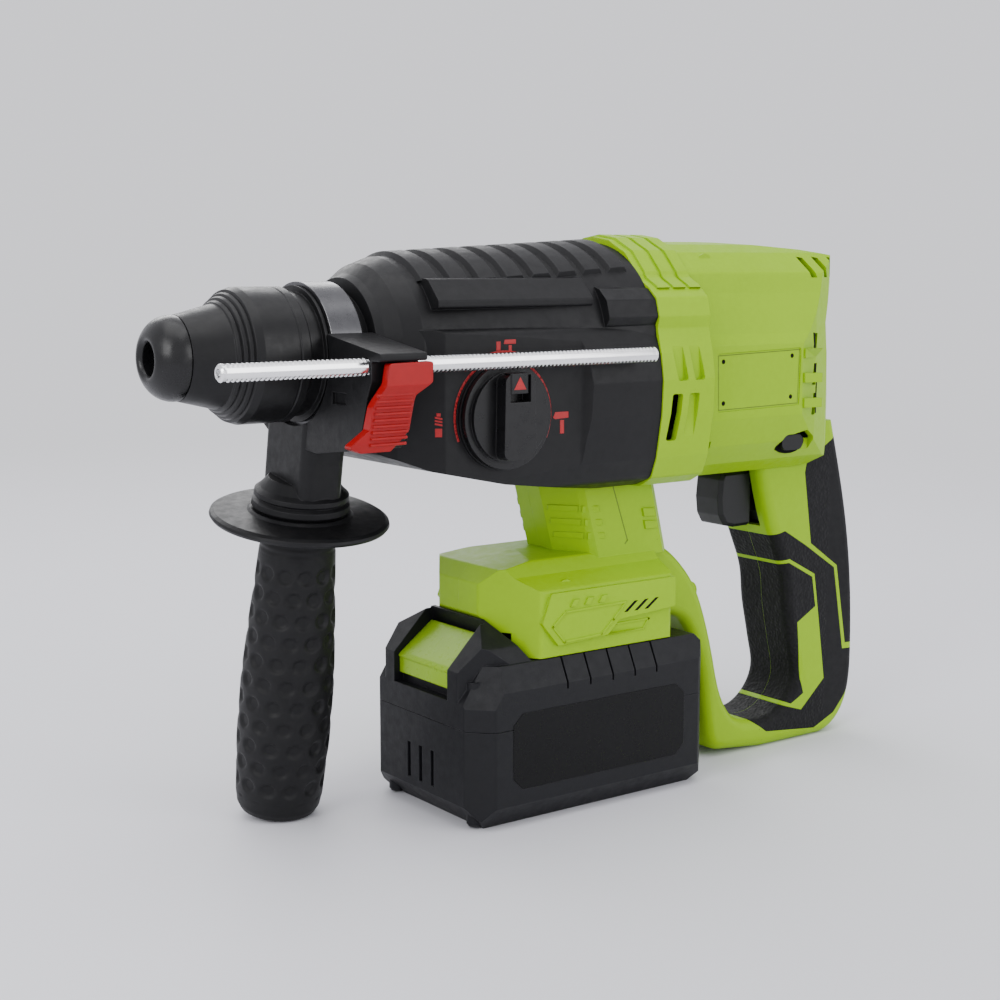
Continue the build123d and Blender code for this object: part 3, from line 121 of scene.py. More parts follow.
def finish_material(name, colour, rough, grain=2600.0, depth=0.00003, strength=0.35, mottle=0.07, spread=0.08,
                    edge=0.00045, worn=None, wear=0.3, metallic=0.0, pattern=None, pattern_depth=0.0002, brushed=None,
                    coat=0.0, coat_rough=0.2, sheen=0.0, specular=0.5, dust=0.0):
    """Moulded, cast or machined surface: grain, colour drift, softened edges and slight wear along them."""
    n = Nodes(name)
    bevel = n.add("ShaderNodeBevel", samples=4)
    bevel.inputs["Radius"].default_value = edge
    true_normal = n.add("ShaderNodeNewGeometry").outputs["Normal"]
    dot = n.add("ShaderNodeVectorMath", operation="DOT_PRODUCT")
    n.feed(bevel.outputs["Normal"], dot.inputs[0])
    n.feed(true_normal, dot.inputs[1])
    edges = n.stretch(dot.outputs["Value"], 0.995, 0.86)
    patchy = n.stretch(n.noise(90.0, 4.0, 0.6), 0.42, 0.62)
    worn_share = n.math("MULTIPLY", n.math("MULTIPLY", edges, patchy), wear)
    drift = n.noise(24.0, 3.0)
    speckle = n.noise(420.0, 3.0)
    body = n.mix(n.stretch(drift, 0.3, 0.7), lighter(colour, 1.0 - mottle), lighter(colour, 1.0 + mottle))
    body = n.mix(n.math("MULTIPLY", n.stretch(speckle, 0.35, 0.75), 0.5), body, lighter(colour, 1.0 + 2.2 * mottle))
    if dust:
        upward = n.add("ShaderNodeSeparateXYZ")
        n.feed(true_normal, upward.inputs[0])
        facing_up = n.stretch(upward.outputs["Z"], 0.2, 1.0)
        settled = n.math("MULTIPLY", facing_up, n.stretch(n.noise(180.0, 5.0), 0.45, 0.75))
        body = n.mix(n.math("MULTIPLY", settled, dust), body, (0.22, 0.21, 0.20))
    n.feed(n.mix(worn_share, body, worn or lighter(colour, 2.4)), n.shader.inputs["Base Color"])
    streaks = n.noise(260.0, 4.0, 0.65)
    base_rough = n.stretch(streaks, 0.3, 0.7, rough - spread, rough + spread)
    polished = n.math("MULTIPLY", worn_share, 0.15)
    n.feed(n.math("SUBTRACT", base_rough, polished, clamp=True), n.shader.inputs["Roughness"])
    if brushed:
        fine = n.noise(1.0, 3.0, 0.6, n.scaled(brushed))
    else:
        fine = n.noise(grain, 3.0, 0.6)
    bump = n.add("ShaderNodeBump")
    bump.inputs["Strength"].default_value = strength
    bump.inputs["Distance"].default_value = depth
    n.feed(fine, bump.inputs["Height"])
    n.feed(bevel.outputs["Normal"], bump.inputs["Normal"])
    last = bump
    if pattern:
        relief = n.add("ShaderNodeBump")
        relief.inputs["Strength"].default_value = 0.9
        relief.inputs["Distance"].default_value = pattern_depth
        n.feed(pattern(n), relief.inputs["Height"])
        n.feed(bump.outputs["Normal"], relief.inputs["Normal"])
        last = relief
    n.feed(last.outputs["Normal"], n.shader.inputs["Normal"])
    for key, value in (("Metallic", metallic), ("Coat Weight", coat), ("Coat Roughness", coat_rough),
                       ("Sheen Weight", sheen), ("Specular IOR Level", specular)):
        n.shader.inputs[key].default_value = value
    return n.material


def pebbled(n):
    """Leather-like pebble of the grip's finger pads, a little over a millimetre across."""
    return n.stretch(n.cells(780.0, "SMOOTH_F1"), 0.05, 0.6, 1.0, 0.0)


def palm_pebble(n):
    """The pebble laid only over the front half of the rear grip, where the fingers close."""
    parts = n.add("ShaderNodeSeparateXYZ")
    n.feed(n.place, parts.inputs[0])
    return n.math("MULTIPLY", pebbled(n), n.stretch(parts.outputs["X"], -0.1475, -0.1455))


def laminated(n):
    """Edges of stacked iron sheets, half a millimetre apart along the motor's axis."""
    parts = n.add("ShaderNodeSeparateXYZ")
    n.feed(n.place, parts.inputs[0])
    return n.math("SINE", n.math("MULTIPLY", parts.outputs["X"], 2 * pi / 0.0007))


def ring_lines(n):
    """Fine turned lines along the chuck's axis."""
    parts = n.add("ShaderNodeSeparateXYZ")
    n.feed(n.place, parts.inputs[0])
    return n.math("SINE", n.math("MULTIPLY", parts.outputs["X"], 2 * pi / 0.0006))


LIME = (0.26, 0.46, 0.0)
BLACK = (0.0048, 0.0048, 0.0054)
lime = finish_material("lime_plastic", LIME, 0.42, grain=1900, depth=0.00004, strength=0.3, mottle=0.04,
                       worn=(0.34, 0.56, 0.01), wear=0.30, specular=0.16)
lime_gloss = finish_material("lime_button_plastic", LIME, 0.30, grain=2600, strength=0.15, mottle=0.03, specular=0.26,
                             worn=(0.34, 0.56, 0.01), wear=0.3)
casing_black = finish_material("black_casing_plastic", BLACK, 0.46, grain=1500, depth=0.00006, strength=0.5,
                               mottle=0.18, worn=(0.035, 0.035, 0.038), wear=0.6, specular=0.24, dust=0.02)
pack_black = finish_material("battery_plastic", (0.0052, 0.0054, 0.0068), 0.5, grain=1300, depth=0.00007, strength=0.6,
                             mottle=0.15, worn=(0.04, 0.04, 0.046), wear=0.6, specular=0.24, dust=0.03)
rubber = finish_material("grip_rubber", (0.0042, 0.0042, 0.0048), 0.62, grain=1100, depth=0.00006, strength=0.5,
                         pattern=palm_pebble, pattern_depth=0.00025, mottle=0.2, sheen=0.02, specular=0.20, dust=0.02)
handle_rubber = finish_material("handle_rubber", (0.0045, 0.0045, 0.0050), 0.55, grain=1500, depth=0.00005,
                                strength=0.5, mottle=0.2, sheen=0.02, specular=0.24, dust=0.03)
cap_rubber = finish_material("cap_rubber", (0.0045, 0.0045, 0.005), 0.3, grain=1700, depth=0.00003, strength=0.25,
                             mottle=0.2, specular=0.36, dust=0.03)
chuck_black = finish_material("chuck_coating", (0.0048, 0.0048, 0.0052), 0.4, grain=1800, depth=0.00004, strength=0.4,
                              mottle=0.18, worn=(0.05, 0.05, 0.054), wear=0.6, specular=0.28, dust=0.02)
knob_black = finish_material("knob_plastic", (0.0042, 0.0042, 0.0048), 0.32, grain=1600, depth=0.00004, strength=0.35,
                             mottle=0.15, worn=(0.035, 0.035, 0.038), wear=0.5, specular=0.36)
switch_black = finish_material("trigger_plastic", (0.0048, 0.0048, 0.0052), 0.36, grain=1700, depth=0.00004,
                               strength=0.3, mottle=0.15, worn=(0.035, 0.035, 0.038), wear=0.5, specular=0.34, dust=0.03)
label_black = finish_material("blank_label_film", (0.0022, 0.0022, 0.0025), 0.30, grain=500, depth=0.00003,
                              strength=0.12, mottle=0.25, coat=0.03, coat_rough=0.2, specular=0.16, wear=0.1)
red = finish_material("red_plastic", (0.30, 0.0008, 0.002), 0.36, grain=1800, depth=0.00004, strength=0.3,
                      mottle=0.08, worn=(0.45, 0.01, 0.01), wear=0.4, specular=0.3)
# painted shade: a darker lime drawn along the neck grooves, the frame seams and the plate's outline, where shade falls
# in the gaps
painted_line_shade = finish_material("lime_painted_line_shade", (0.10, 0.17, 0.001), 0.6, mottle=0.1, wear=0.0)
red_print = finish_material("red_print", (0.34, 0.002, 0.004), 0.45, grain=2600, strength=0.2, mottle=0.15, wear=0.0)
# painted shade: near-black sheets laid over slots, holes, the rear slit and the slider's pocket, where only shade
# falls
painted_opening_shade = finish_material("opening_shadow", (0.004, 0.004, 0.004), 0.8, mottle=0.2, wear=0.0, specular=0.1)
rod_steel = finish_material("plated_rod_steel", (0.86, 0.86, 0.87), 0.16, metallic=1.0, mottle=0.04, spread=0.05,
                            brushed=(60, 2400, 2400), depth=0.00002, strength=0.3, worn=(0.95, 0.95, 0.95), wear=0.4)
band_steel = finish_material("band_steel", (0.10, 0.10, 0.105), 0.30, metallic=0.9, mottle=0.1, spread=0.07,
                             brushed=(3500, 80, 80), depth=0.00002, strength=0.35, worn=(0.6, 0.6, 0.6), wear=0.8)
dark_steel = finish_material("dark_steel", (0.12, 0.12, 0.125), 0.34, metallic=0.95, mottle=0.12, spread=0.08,
                             pattern=ring_lines, pattern_depth=0.00001, worn=(0.5, 0.5, 0.5), wear=0.7)
bright_steel = finish_material("ground_steel", (0.62, 0.62, 0.61), 0.24, metallic=1.0, mottle=0.06, spread=0.06,
                               brushed=(2500, 120, 120), depth=0.00002, strength=0.3, worn=(0.85, 0.85, 0.85))
gear_steel = finish_material("gear_steel", (0.40, 0.38, 0.35), 0.36, metallic=0.95, mottle=0.14, spread=0.12,
                             grain=900, depth=0.00003, worn=(0.7, 0.7, 0.68), wear=0.7)
alloy = finish_material("cast_alloy", (0.56, 0.56, 0.57), 0.45, metallic=0.9, mottle=0.1, grain=700, depth=0.0001,
                        strength=0.5, worn=(0.8, 0.8, 0.8), wear=0.6)
iron = finish_material("laminated_iron", (0.20, 0.19, 0.185), 0.5, metallic=0.8, mottle=0.15, pattern=laminated,
                       pattern_depth=0.00008)
copper = finish_material("enamelled_copper", (0.66, 0.25, 0.10), 0.28, metallic=0.85, mottle=0.12,
                         brushed=(120, 1400, 1400), depth=0.00012, strength=0.8, coat=0.4)
brass = finish_material("plated_brass", (0.72, 0.52, 0.25), 0.3, metallic=1.0, mottle=0.1, brushed=(80, 2000, 2000))
board = finish_material("circuit_board", (0.015, 0.12, 0.05), 0.35, mottle=0.2, grain=600, depth=0.00005, coat=0.4)
cell_wrap = finish_material("cell_wrap", (0.03, 0.16, 0.42), 0.3, mottle=0.08, grain=500, depth=0.00004, coat=0.3)
screw_black = finish_material("screw_black_oxide", (0.03, 0.03, 0.032), 0.38, metallic=0.8, mottle=0.15,
                              worn=(0.35, 0.35, 0.35), wear=0.6)
seal_rubber = finish_material("seal_rubber", (0.02, 0.018, 0.016), 0.35, mottle=0.2)

BY_SLOT = {"black_casing": casing_black, "lime_casing": lime, "grip_rubber": rubber, "black_screw": screw_black,
           "bright_steel": bright_steel, "dark_steel": dark_steel, "gear_steel": gear_steel, "alloy": alloy,
           "stator_iron": iron, "copper": copper, "board_green": board, "switch_black": switch_black,
           "chuck_black": chuck_black, "cap_rubber": cap_rubber, "seal_rubber": seal_rubber,
           "knob_black": knob_black, "red_plastic": red, "yoke_black": casing_black, "handle_rubber": handle_rubber,
           "handle_core": casing_black, "rod_steel": rod_steel, "pack_black": pack_black, "label_black": label_black,
           "cell_wrap": cell_wrap, "terminal_brass": brass}
BY_NODE = {"battery_button": lime_gloss, "knob_release": knob_black, "clamp_band": band_steel,
           "chuck_collar": chuck_black}
for entry in frame["record"]["subparts"]:
    piece = nodes[entry["node"]]
    chosen = BY_NODE.get(entry["node"], BY_SLOT[entry["material_slot"]])
    piece.data.materials.clear()
    piece.data.materials.append(chosen)


# ---------------------------------------------------------------- mesh helpers
def new_piece(name, vertices, faces, material, body, smooth=False):
    """A mesh piece that rides on a body; vertices are in metres."""
    mesh = bpy.data.meshes.new(name)
    mesh.from_pydata([tuple(v) for v in vertices], [], faces)
    mesh.validate()
    mesh.update()
    if smooth:
        for polygon in mesh.polygons:
            polygon.use_smooth = True
    mesh.materials.append(material)
    made = bpy.data.objects.new(name, mesh)
    bpy.context.scene.collection.objects.link(made)
    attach(made, body)
    return made


def surface_of(*names):
    """Ray-cast tree over the rest meshes of some CAD nodes."""
    vertices, faces = [], []
    for name in names:
        mesh = nodes[name].data
        start = len(vertices)
        vertices.extend(v.co.copy() for v in mesh.vertices)
        faces.extend([start + i for i in p.vertices] for p in mesh.polygons)
    return BVHTree.FromPolygons(vertices, faces)


def onto_side(tree, x, z, side=1):
    """Height of the surface at (x, z) in millimetres, seen from the +Y or -Y side, in metres."""
    hit = tree.ray_cast(Vector((x * MM, side * 0.3, z * MM)), Vector((0, -side, 0)))
    return hit[0].y if hit[0] else None


def relief(name, tree, outlines, lift, sink, material, body, slot, side=1, level=None):
    """Flat figures in (x, z) millimetres laid on a side surface: raised by lift, with walls down to sink below it."""
    vertices, faces = [], []
    for outline in outlines:
        tops = []
        for x, z in outline:
            y = onto_side(tree, x, z, side)
            if y is None:
                y = side * 0.035
            if level is not None:
                y = side * level * MM
            tops.append(Vector((x * MM, y, z * MM)))
        start = len(vertices)
        count = len(tops)
        vertices.extend(v + Vector((0, side * lift * MM, 0)) for v in tops)
        vertices.extend(v - Vector((0, side * sink * MM, 0)) for v in tops)
        faces.append([start + i for i in range(count)])
        for i in range(count):
            j = (i + 1) % count
            faces.append([start + i, start + j, start + count + j, start + count + i])
    made = new_piece(name, vertices, faces, material, body)
    tidy = bmesh.new()
    tidy.from_mesh(made.data)
    bmesh.ops.recalc_face_normals(tidy, faces=tidy.faces)
    tidy.to_mesh(made.data)
    tidy.free()
    return made


def band_quads(points, width, closed=False):
    """Short four-sided figures that together follow a line of (x, z) points at a given width."""
    count = len(points)
    quads = []
    for i in range(count if closed else count - 1):
        (ax, az), (bx, bz) = points[i], points[(i + 1) % count]
        length = sqrt((bx - ax) ** 2 + (bz - az) ** 2) or 1.0
        dx, dz = (bx - ax) / length, (bz - az) / length
        nx, nz = -dz * width / 2, dx * width / 2
        ex, ez = dx * width / 2.2, dz * width / 2.2
        quads.append([(ax - ex + nx, az - ez + nz), (bx + ex + nx, bz + ez + nz),
                      (bx + ex - nx, bz + ez - nz), (ax - ex - nx, az - ez - nz)])
    return quads


def arc_points(x, z, radius, start, stop, steps):
    return [(x + radius * cos(radians(start + (stop - start) * i / steps)),
             z + radius * sin(radians(start + (stop - start) * i / steps))) for i in range(steps + 1)]


# ---------------------------------------------------------------- knob marks
flank = surface_of("gear_housing")
knob_low, knob_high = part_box("mode_knob")
KNOB_X = (knob_low.x + knob_high.x) / 2 / MM
KNOB_Z = (knob_low.z + knob_high.z) / 2 / MM
left_arc = arc_points(KNOB_X, KNOB_Z, 20.7, -22, 66, 26)
right_arc = arc_points(KNOB_X, KNOB_Z, 20.7, 114, 204, 26)
relief("knob_ring_mark", flank, band_quads(left_arc, 0.9) + band_quads(right_arc, 0.9), 0.10, 0.3, red_print,
       "housing", "red_plastic")
tab = arc_points(KNOB_X, KNOB_Z, 23.4, 70, 110, 10) + arc_points(KNOB_X, KNOB_Z, 19.8, 110, 70, 10)
relief("knob_tab_mark", flank, [tab], 0.5, 0.5, red, "housing", "red_plastic")
drill_icon = [[(73.4, 156), (74.6, 156), (74.6, 157.2), (73.4, 157.2)]]
for index in range(3):
    drill_icon.append([(72.9, 152.6 + index * 1.1), (75.1, 153.1 + index * 1.1), (75.1, 153.8 + index * 1.1),
                       (72.9, 153.3 + index * 1.1)])
drill_icon.append([(73.0, 148.8), (75.0, 148.8), (75.0, 151.8), (73.0, 151.8)])
hammer_icon = [[(18.6, 155.2), (24.6, 155.2), (25.6, 153.2), (24.6, 152.6), (18.6, 152.9)],
               [(20.6, 147.2), (22.4, 147.2), (22.4, 152.2), (20.6, 152.2)]]
both_icon = [[(KNOB_X + 1.2, 181.6), (KNOB_X + 3.0, 181.6), (KNOB_X + 3.0, 178.4), (KNOB_X + 1.2, 178.4)],
             [(KNOB_X - 5.4, 182.2), (KNOB_X - 0.6, 182.2), (KNOB_X - 0.2, 180.6), (KNOB_X - 5.4, 180.6)],
             [(KNOB_X - 3.6, 177.6), (KNOB_X - 2.3, 177.6), (KNOB_X - 2.3, 180.2), (KNOB_X - 3.6, 180.2)]]
relief("mode_icons", flank, drill_icon + hammer_icon + both_icon, 0.08, 0.3, red_print, "housing", "red_plastic")
release_low, release_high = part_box("knob_release")
RELEASE_X = (release_low.x + release_high.x) / 2 / MM
RELEASE_Z = (release_low.z + release_high.z) / 2 / MM
triangle = [[(RELEASE_X - 2.7, RELEASE_Z - 2.2), (RELEASE_X + 2.7, RELEASE_Z - 2.2), (RELEASE_X, RELEASE_Z + 2.4)]]
relief("knob_pointer", surface_of("knob_release"), triangle, 0.1, 0.3, red_print, "knob_release", "red_plastic")


# ---------------------------------------------------------------- battery holder and plate details
shell = {1: surface_of("left_housing", "blank_plates"), -1: surface_of("right_housing", "blank_plates")}
PANEL_FRAME = [(22.2, 74.0), (16.2, 79.0), (-13.4, 79.4), (-7.1, 73.2), (-1.4, 68.2), (16.6, 67.6)]
LOWER_FRAME = [(-5.2, 67.4), (-9.6, 71.0), (-26.2, 71.0), (-23.6, 67.4)]
PANEL_BUMPS = [[(14.1 - 6.9 * i, 80.8), (11.4 - 6.9 * i, 80.8), (9.9 - 6.9 * i, 83.4), (12.6 - 6.9 * i, 83.4)]
               for i in range(3)]
PANEL_SLOTS = [[(-12.6 - 5.2 * i, 75.4), (-14.4 - 5.2 * i, 75.4), (-19.6 - 5.4 * i, 79.3), (-17.8 - 5.4 * i, 79.3)]
               for i in range(3)]
NECK_LINES = [[(-17.6, 122.4), (-25.2, 100.6), (-24.0, 99.4)], [(-1.0, 99.2), (-40.6, 99.4)]]
def neck_edge(z):
    """Front edge of the neck's side face, in millimetres, at a height."""
    return -8.6 + 0.27 * (z - 94)


NECK_STEPS = []
for top in (116.0, 110.6, 105.2):
    edge = neck_edge(top)
    NECK_STEPS.append([(edge + 8.0, top), (edge + 0.6, top), (edge + 0.4, top - 2.6), (edge + 7.8, top - 2.2)])
    NECK_STEPS.append([(edge - 0.4, top), (edge - 7.4, top - 0.4), (edge - 7.8, top - 2.6), (edge - 0.6, top - 2.6)])
NECK_STEPS += [[(-32.4, 112.8), (-38.8, 112.4), (-39.4, 109.2), (-33.4, 109.4)],
               [(-33.4, 107.8), (-39.8, 107.2), (-40.4, 104.2), (-34.2, 104.4)]]
HOLES = [(-63.6, 170.2), (-102.0, 171.4), (-101.6, 154.6), (-63.9, 153.6)]
for side, tag in ((1, "near"), (-1, "far")):
    tree = shell[side]
    relief("holder_frame_" + tag, tree, band_quads(PANEL_FRAME, 0.9, True) + band_quads(LOWER_FRAME, 0.8, True),
           0.35, 0.4, lime, "housing", "lime_casing", side)
    relief("holder_bumps_" + tag, tree, PANEL_BUMPS, 0.7, 0.4, lime, "housing", "lime_casing", side)
    # painted shade: near-black sheets in the holder's slots
    relief("holder_slots_" + tag, tree, PANEL_SLOTS, 0.04, 0.4, painted_opening_shade, "housing", "lime_casing", side)
    relief("neck_steps_" + tag, tree, NECK_STEPS, 0.7, 0.6, lime, "housing", "lime_casing", side)
    # painted shade along the neck grooves
    relief("neck_lines_" + tag, tree, band_quads(NECK_LINES[0], 0.5) + band_quads(NECK_LINES[1], 0.6), 0.03, 0.3,
           painted_line_shade, "housing", "lime_casing", side)
    # painted shade along the frame seams
    seams = band_quads([(-73.9, 41), (-80.6, 41)], 0.5) + band_quads([(-106.9, 8.2), (-108.4, 3.6)], 0.5)
    relief("frame_seams_" + tag, tree, seams, 0.03, 0.3, painted_line_shade, "housing", "lime_casing", side)
    # painted shade: near-black discs in the plate's screw holes
    holes = [arc_points(x, z, 0.95, 0, 330, 11) for x, z in HOLES]
    relief("plate_holes_" + tag, tree, holes, 0.03, 0.3, painted_opening_shade, "housing", "lime_casing", side)
    # painted shade along the plate's outline
    plate_rim = [(-60.8, 172.6), (-106.2, 173.8), (-105.6, 151.8), (-61.4, 151.0)]
    relief("plate_line_" + tag, tree, band_quads(plate_rim, 0.35, True), 0.02, 0.3, painted_line_shade, "housing",
           "lime_casing", side)
    tabs = [[(-109.0, z), (-118.6, z - 0.2), (-118.6, z - 4.0), (-109.0, z - 4.0)] for z in (174.2, 164.0, 153.6)]
    relief("rear_tabs_" + tag, tree, tabs, 0.9, 1.2, lime, "housing", "lime_casing", side)
    # painted shade: a near-black sheet in the rear slit
    slit = [[(-117.0, 180.4), (-118.6, 180.2), (-122.4, 160.4), (-122.0, 146.4), (-120.4, 146.4), (-120.8, 160.4)]]
    relief("rear_slit_" + tag, tree, slit, 0.03, 0.4, painted_opening_shade, "housing", "lime_casing", side)


slider_low, slider_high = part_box("direction_slider")
SLIDER_X = (slider_low.x + slider_high.x) / 2 / MM
SLIDER_Z = (slider_low.z + slider_high.z) / 2 / MM
# painted shadow: a dark oval laid on the floor of the slider's recess on both sides, where shade falls around the
# slider
POCKET = [(SLIDER_X + 9.4 * cos(radians(a)), SLIDER_Z + 4.9 * sin(radians(a))) for a in range(0, 360, 20)]
for side, tag in ((1, "near"), (-1, "far")):
    relief("slider_pocket_" + tag, shell[side], [POCKET], 0.05, 0.4, painted_opening_shade, "housing", "lime_casing", side, 27.75)


SPINDLE_Z = 0.1775


def hoop(name, tree, x_rear, x_front, start, stop, lift, material, body):
    """Band that hugs the top of a casing between two angles about the spindle axis."""
    vertices, faces = [], []
    steps = 60
    for i in range(steps + 1):
        turn = radians(start + (stop - start) * i / steps)
        outward = Vector((0, cos(turn), sin(turn)))
        for x, extra in ((x_rear, -0.3), (x_rear, lift), (x_front, lift), (x_front, -0.3)):
            origin = Vector((x * MM, 0, SPINDLE_Z)) + outward * 0.09
            hit = tree.ray_cast(origin, -outward)
            base = hit[0] if hit[0] else Vector((x * MM, 0, SPINDLE_Z)) + outward * 0.04
            vertices.append(base + outward * extra * MM)
    for i in range(steps):
        for k in range(3):
            faces.append([i * 4 + k, i * 4 + k + 1, i * 4 + 5 + k, i * 4 + 4 + k])
    return new_piece(name, vertices, faces, material, body)


whole_shell = surface_of("left_housing", "right_housing")
for index, (rear, front) in enumerate(((-33.6, -27.4), (-41.8, -35.6), (-49.6, -43.8))):
    hoop("band_rib_%d" % index, whole_shell, rear, front, 32, 148, 0.9, lime, "housing")


# ---------------------------------------------------------------- depth rod with teeth
rod_low, rod_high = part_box("depth_rod")
ROD_Y, ROD_Z = (rod_low.y + rod_high.y) / 2, (rod_low.z + rod_high.z) / 2
ROD_R = (rod_high.z - rod_low.z) / 2
TOOTH = 1.7 * MM
STEPS = 20
vertices, faces = [], []
stations = [(rod_low.x, 0.80), (rod_low.x + 0.6 * MM, 1.0)]
x = rod_low.x + 1.2 * MM
while x < rod_high.x - 2.2 * MM:
    stations += [(x, 1.0), (x + 0.22 * TOOTH, 0.83), (x + 0.50 * TOOTH, 0.83), (x + 0.72 * TOOTH, 1.0)]
    x += TOOTH
stations += [(rod_high.x - 0.7 * MM, 1.0), (rod_high.x, 0.78), (rod_high.x, 0.5), (rod_high.x - 1.2 * MM, 0.35)]
for x, depth in stations:
    for i in range(STEPS):
        angle = 2 * pi * i / STEPS
        toothed = abs(sin(angle)) > 0.72
        plain = 0 if (x > rod_low.x + MM and x < rod_high.x - MM) else 1
        radius = ROD_R * (depth if (toothed or plain) else 0.985)
        flat = 0.93 if abs(cos(angle)) > 0.85 and not plain else 1.0
        vertices.append((x, ROD_Y + radius * cos(angle) * flat, ROD_Z + radius * sin(angle)))
rings = len(stations)
for ring in range(rings - 1):
    for i in range(STEPS):
        j = (i + 1) % STEPS
        faces.append([ring * STEPS + i, ring * STEPS + j, (ring + 1) * STEPS + j, (ring + 1) * STEPS + i])
faces.append(list(reversed(range(STEPS))))
faces.append([(rings - 1) * STEPS + i for i in range(STEPS)])
rod = new_piece("toothed_depth_rod", vertices, faces, rod_steel, "depth_rod")
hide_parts("depth_rod")


# ---------------------------------------------------------------- dimpled side grip
LEAN = radians(10.4)
axis_down = Vector((0, -sin(LEAN), -cos(LEAN)))
across = Vector((1, 0, 0))
beside = axis_down.cross(across)
pivot = Vector(frame["joints"][[j["name"] for j in frame["joints"]].index("side_grip_turn")]["pos_m"])
PROFILE = [(65.0, 13.2), (70.0, 13.9), (86.0, 14.9), (102.0, 16.15), (125.0, 17.5), (148.0, 17.6), (170.0, 16.6),
           (174.6, 15.9), (177.2, 14.6), (178.0, 12.8)]


def grip_radius(length):
    for (a, ra), (b, rb) in zip(PROFILE, PROFILE[1:]):
        if length <= b:
            share = (length - a) / (b - a)
            share = share * share * (3 - 2 * share) * 0.35 + share * 0.65
            return ra + (rb - ra) * share
    return PROFILE[-1][1]


ROUND, LONG = 168, 236
PITCH, COLUMNS = 8.4, 12
vertices, faces = [], []
for row in range(LONG + 1):
    length = 65.0 + 113.0 * row / LONG
    base = grip_radius(length)
    for i in range(ROUND):
        turn = 2 * pi * i / ROUND
        radius = base
        if 76 < length < 170:
            line = (length - 76) / PITCH
            odd = floor(line) % 2
            along = (line - floor(line) - 0.5) * PITCH
            column = turn / (2 * pi) * COLUMNS + 0.5 * odd
            sideways = (column - floor(column) - 0.5) * 2 * pi * base / COLUMNS
            reach = sqrt((along / 2.7) ** 2 + (sideways / 2.9) ** 2)
            if reach < 1.25:
                radius -= 1.05 * min(1.0, max(0.0, (1.25 - reach) / 0.5)) ** 1.4
        elif 66 < length < 74:
            radius -= 0.35 * (0.5 + 0.5 * sin((length - 66) * 2 * pi / 2.6))
        vertices.append(pivot + axis_down * (length * MM) + (across * cos(turn) + beside * sin(turn)) * (radius * MM))
for row in range(LONG):
    for i in range(ROUND):
        j = (i + 1) % ROUND
        faces.append([row * ROUND + i, row * ROUND + j, (row + 1) * ROUND + j, (row + 1) * ROUND + i])
for length, radius in ((178.0, 9.0), (177.4, 8.2), (177.4, 0.2)):
    for i in range(ROUND):
        turn = 2 * pi * i / ROUND
        vertices.append(pivot + axis_down * (length * MM) + (across * cos(turn) + beside * sin(turn)) * (radius * MM))
for row in range(LONG, LONG + 3):
    for i in range(ROUND):
        j = (i + 1) % ROUND
        faces.append([row * ROUND + i, row * ROUND + j, (row + 1) * ROUND + j, (row + 1) * ROUND + i])
grip = new_piece("dimpled_side_grip", vertices, faces, handle_rubber, "side_grip", smooth=True)
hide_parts("side_grip_rubber")


# ---------------------------------------------------------------- stage
AIR = (0.80, 0.80, 0.845)
AIR_LEVEL = 1.35


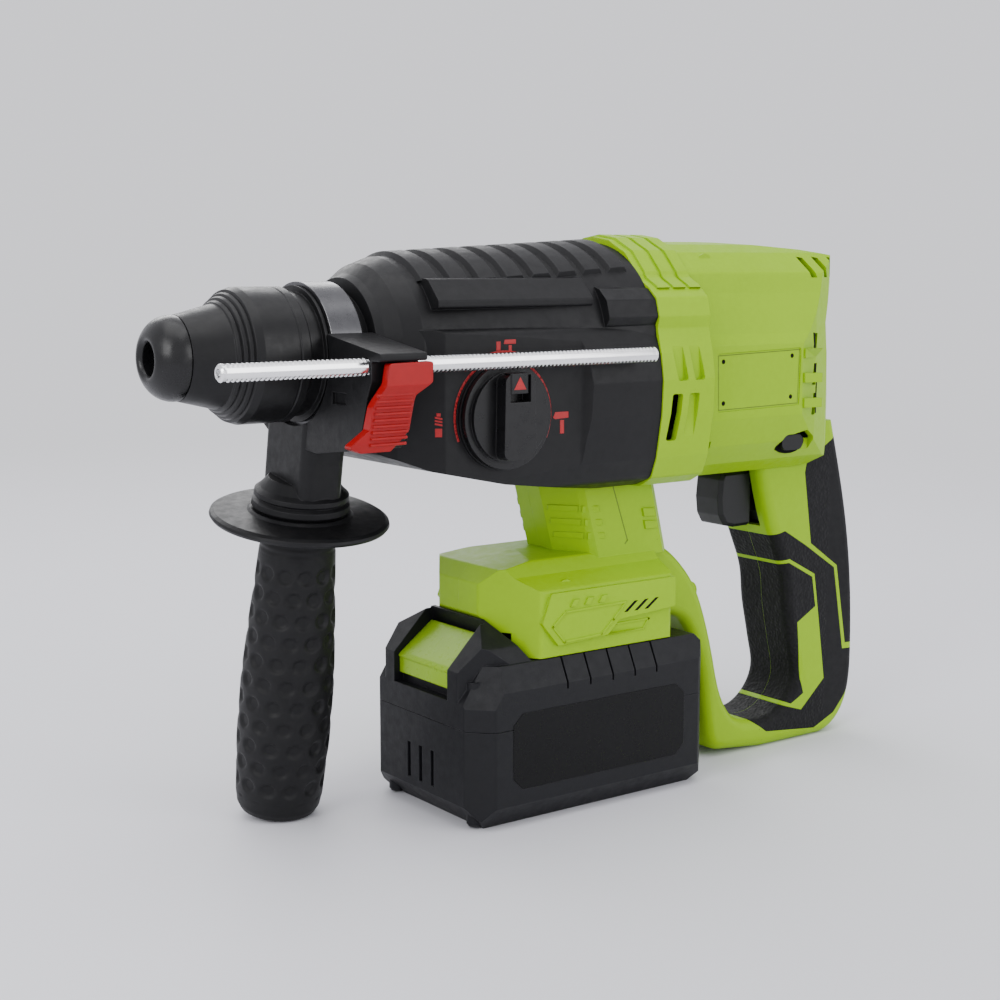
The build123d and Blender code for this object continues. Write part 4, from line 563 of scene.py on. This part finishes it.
def fading_floor():
    """Pale floor that fades with distance into the even colour of the world behind it."""
    steps = 96
    vertices, faces = [(0, 0, 0)], []
    radii = [0.3, 0.6, 1.0, 1.6, 2.4, 4.0, 9.0, 30.0]
    for radius in radii:
        for i in range(steps):
            vertices.append((radius * cos(2 * pi * i / steps), radius * sin(2 * pi * i / steps), 0))
    for i in range(steps):
        faces.append([0, 1 + i, 1 + (i + 1) % steps])
    for row in range(len(radii) - 1):
        for i in range(steps):
            j = (i + 1) % steps
            inner, outer = 1 + row * steps, 1 + (row + 1) * steps
            faces.append([inner + i, outer + i, outer + j, inner + j])
    mesh = bpy.data.meshes.new("stage_floor")
    mesh.from_pydata(vertices, [], faces)
    n = Nodes("pale_floor")
    n.feed(n.mix(n.noise(3.0, 3.0), (0.70, 0.70, 0.735), (0.73, 0.73, 0.765)), n.shader.inputs["Base Color"])
    n.shader.inputs["Roughness"].default_value = 0.6
    n.shader.inputs["Specular IOR Level"].default_value = 0.15
    distance = n.add("ShaderNodeVectorMath", operation="LENGTH")
    n.feed(n.place, distance.inputs[0])
    air = n.add("ShaderNodeEmission")
    air.inputs["Color"].default_value = (*AIR, 1)
    air.inputs["Strength"].default_value = AIR_LEVEL
    blend = n.add("ShaderNodeMixShader")
    ease = n.add("ShaderNodeMapRange", interpolation_type="SMOOTHSTEP")
    n.feed(distance.outputs["Value"], ease.inputs["Value"])
    ease.inputs["From Min"].default_value = 0.30
    ease.inputs["From Max"].default_value = 1.5
    n.feed(ease.outputs["Result"], blend.inputs[0])
    n.feed(n.shader.outputs[0], blend.inputs[1])
    n.feed(air.outputs[0], blend.inputs[2])
    n.feed(blend.outputs[0], n.tree.nodes["Material Output"].inputs["Surface"])
    mesh.materials.append(n.material)
    made = bpy.data.objects.new("stage_floor", mesh)
    bpy.context.scene.collection.objects.link(made)


def area_light(name, place, target, size, power, colour=(1, 1, 1)):
    light = bpy.data.lights.new(name, "AREA")
    light.shape = "RECTANGLE"
    light.size, light.size_y = size
    light.energy = power
    light.color = colour
    made = bpy.data.objects.new(name, light)
    made.location = place
    made.rotation_mode = "QUATERNION"
    made.rotation_quaternion = (Vector(target) - Vector(place)).to_track_quat("-Z", "Y")
    bpy.context.scene.collection.objects.link(made)


fading_floor()
area_light("top_soft", (0.1, 0.1, 1.7), (0, 0, 0.1), (1.8, 1.4), 15)
area_light("key_left", (1.5, 0.55, 0.85), (0.02, 0, 0.14), (0.8, 0.9), 12)
area_light("fill_right", (-0.7, 1.5, 0.65), (-0.03, 0, 0.12), (0.9, 0.9), 8)
area_light("rim_back", (-0.4, -1.4, 1.0), (0, 0, 0.15), (1.0, 0.6), 9)
world = bpy.data.worlds.new("soft_world")
world.use_nodes = True
world.node_tree.nodes["Background"].inputs["Color"].default_value = (*AIR, 1)
world.node_tree.nodes["Background"].inputs["Strength"].default_value = AIR_LEVEL
bpy.context.scene.world = world

CAMERA_PLACE = (401.93, 523.98, 210.50)
CAMERA_AIM = (21.07, 0.0, 117.96)
LENS, SENSOR = 60.66, 36.0
camera_data = bpy.data.cameras.new("camera")
camera_data.lens = LENS
camera_data.sensor_width = SENSOR
camera = bpy.data.objects.new("camera", camera_data)
camera.location = Vector(CAMERA_PLACE) * MM
aim = Vector(CAMERA_AIM) * MM
camera.rotation_mode = "QUATERNION"
camera.rotation_quaternion = (aim - camera.location).to_track_quat("-Z", "Y")
bpy.context.scene.collection.objects.link(camera)
bpy.context.scene.camera = camera
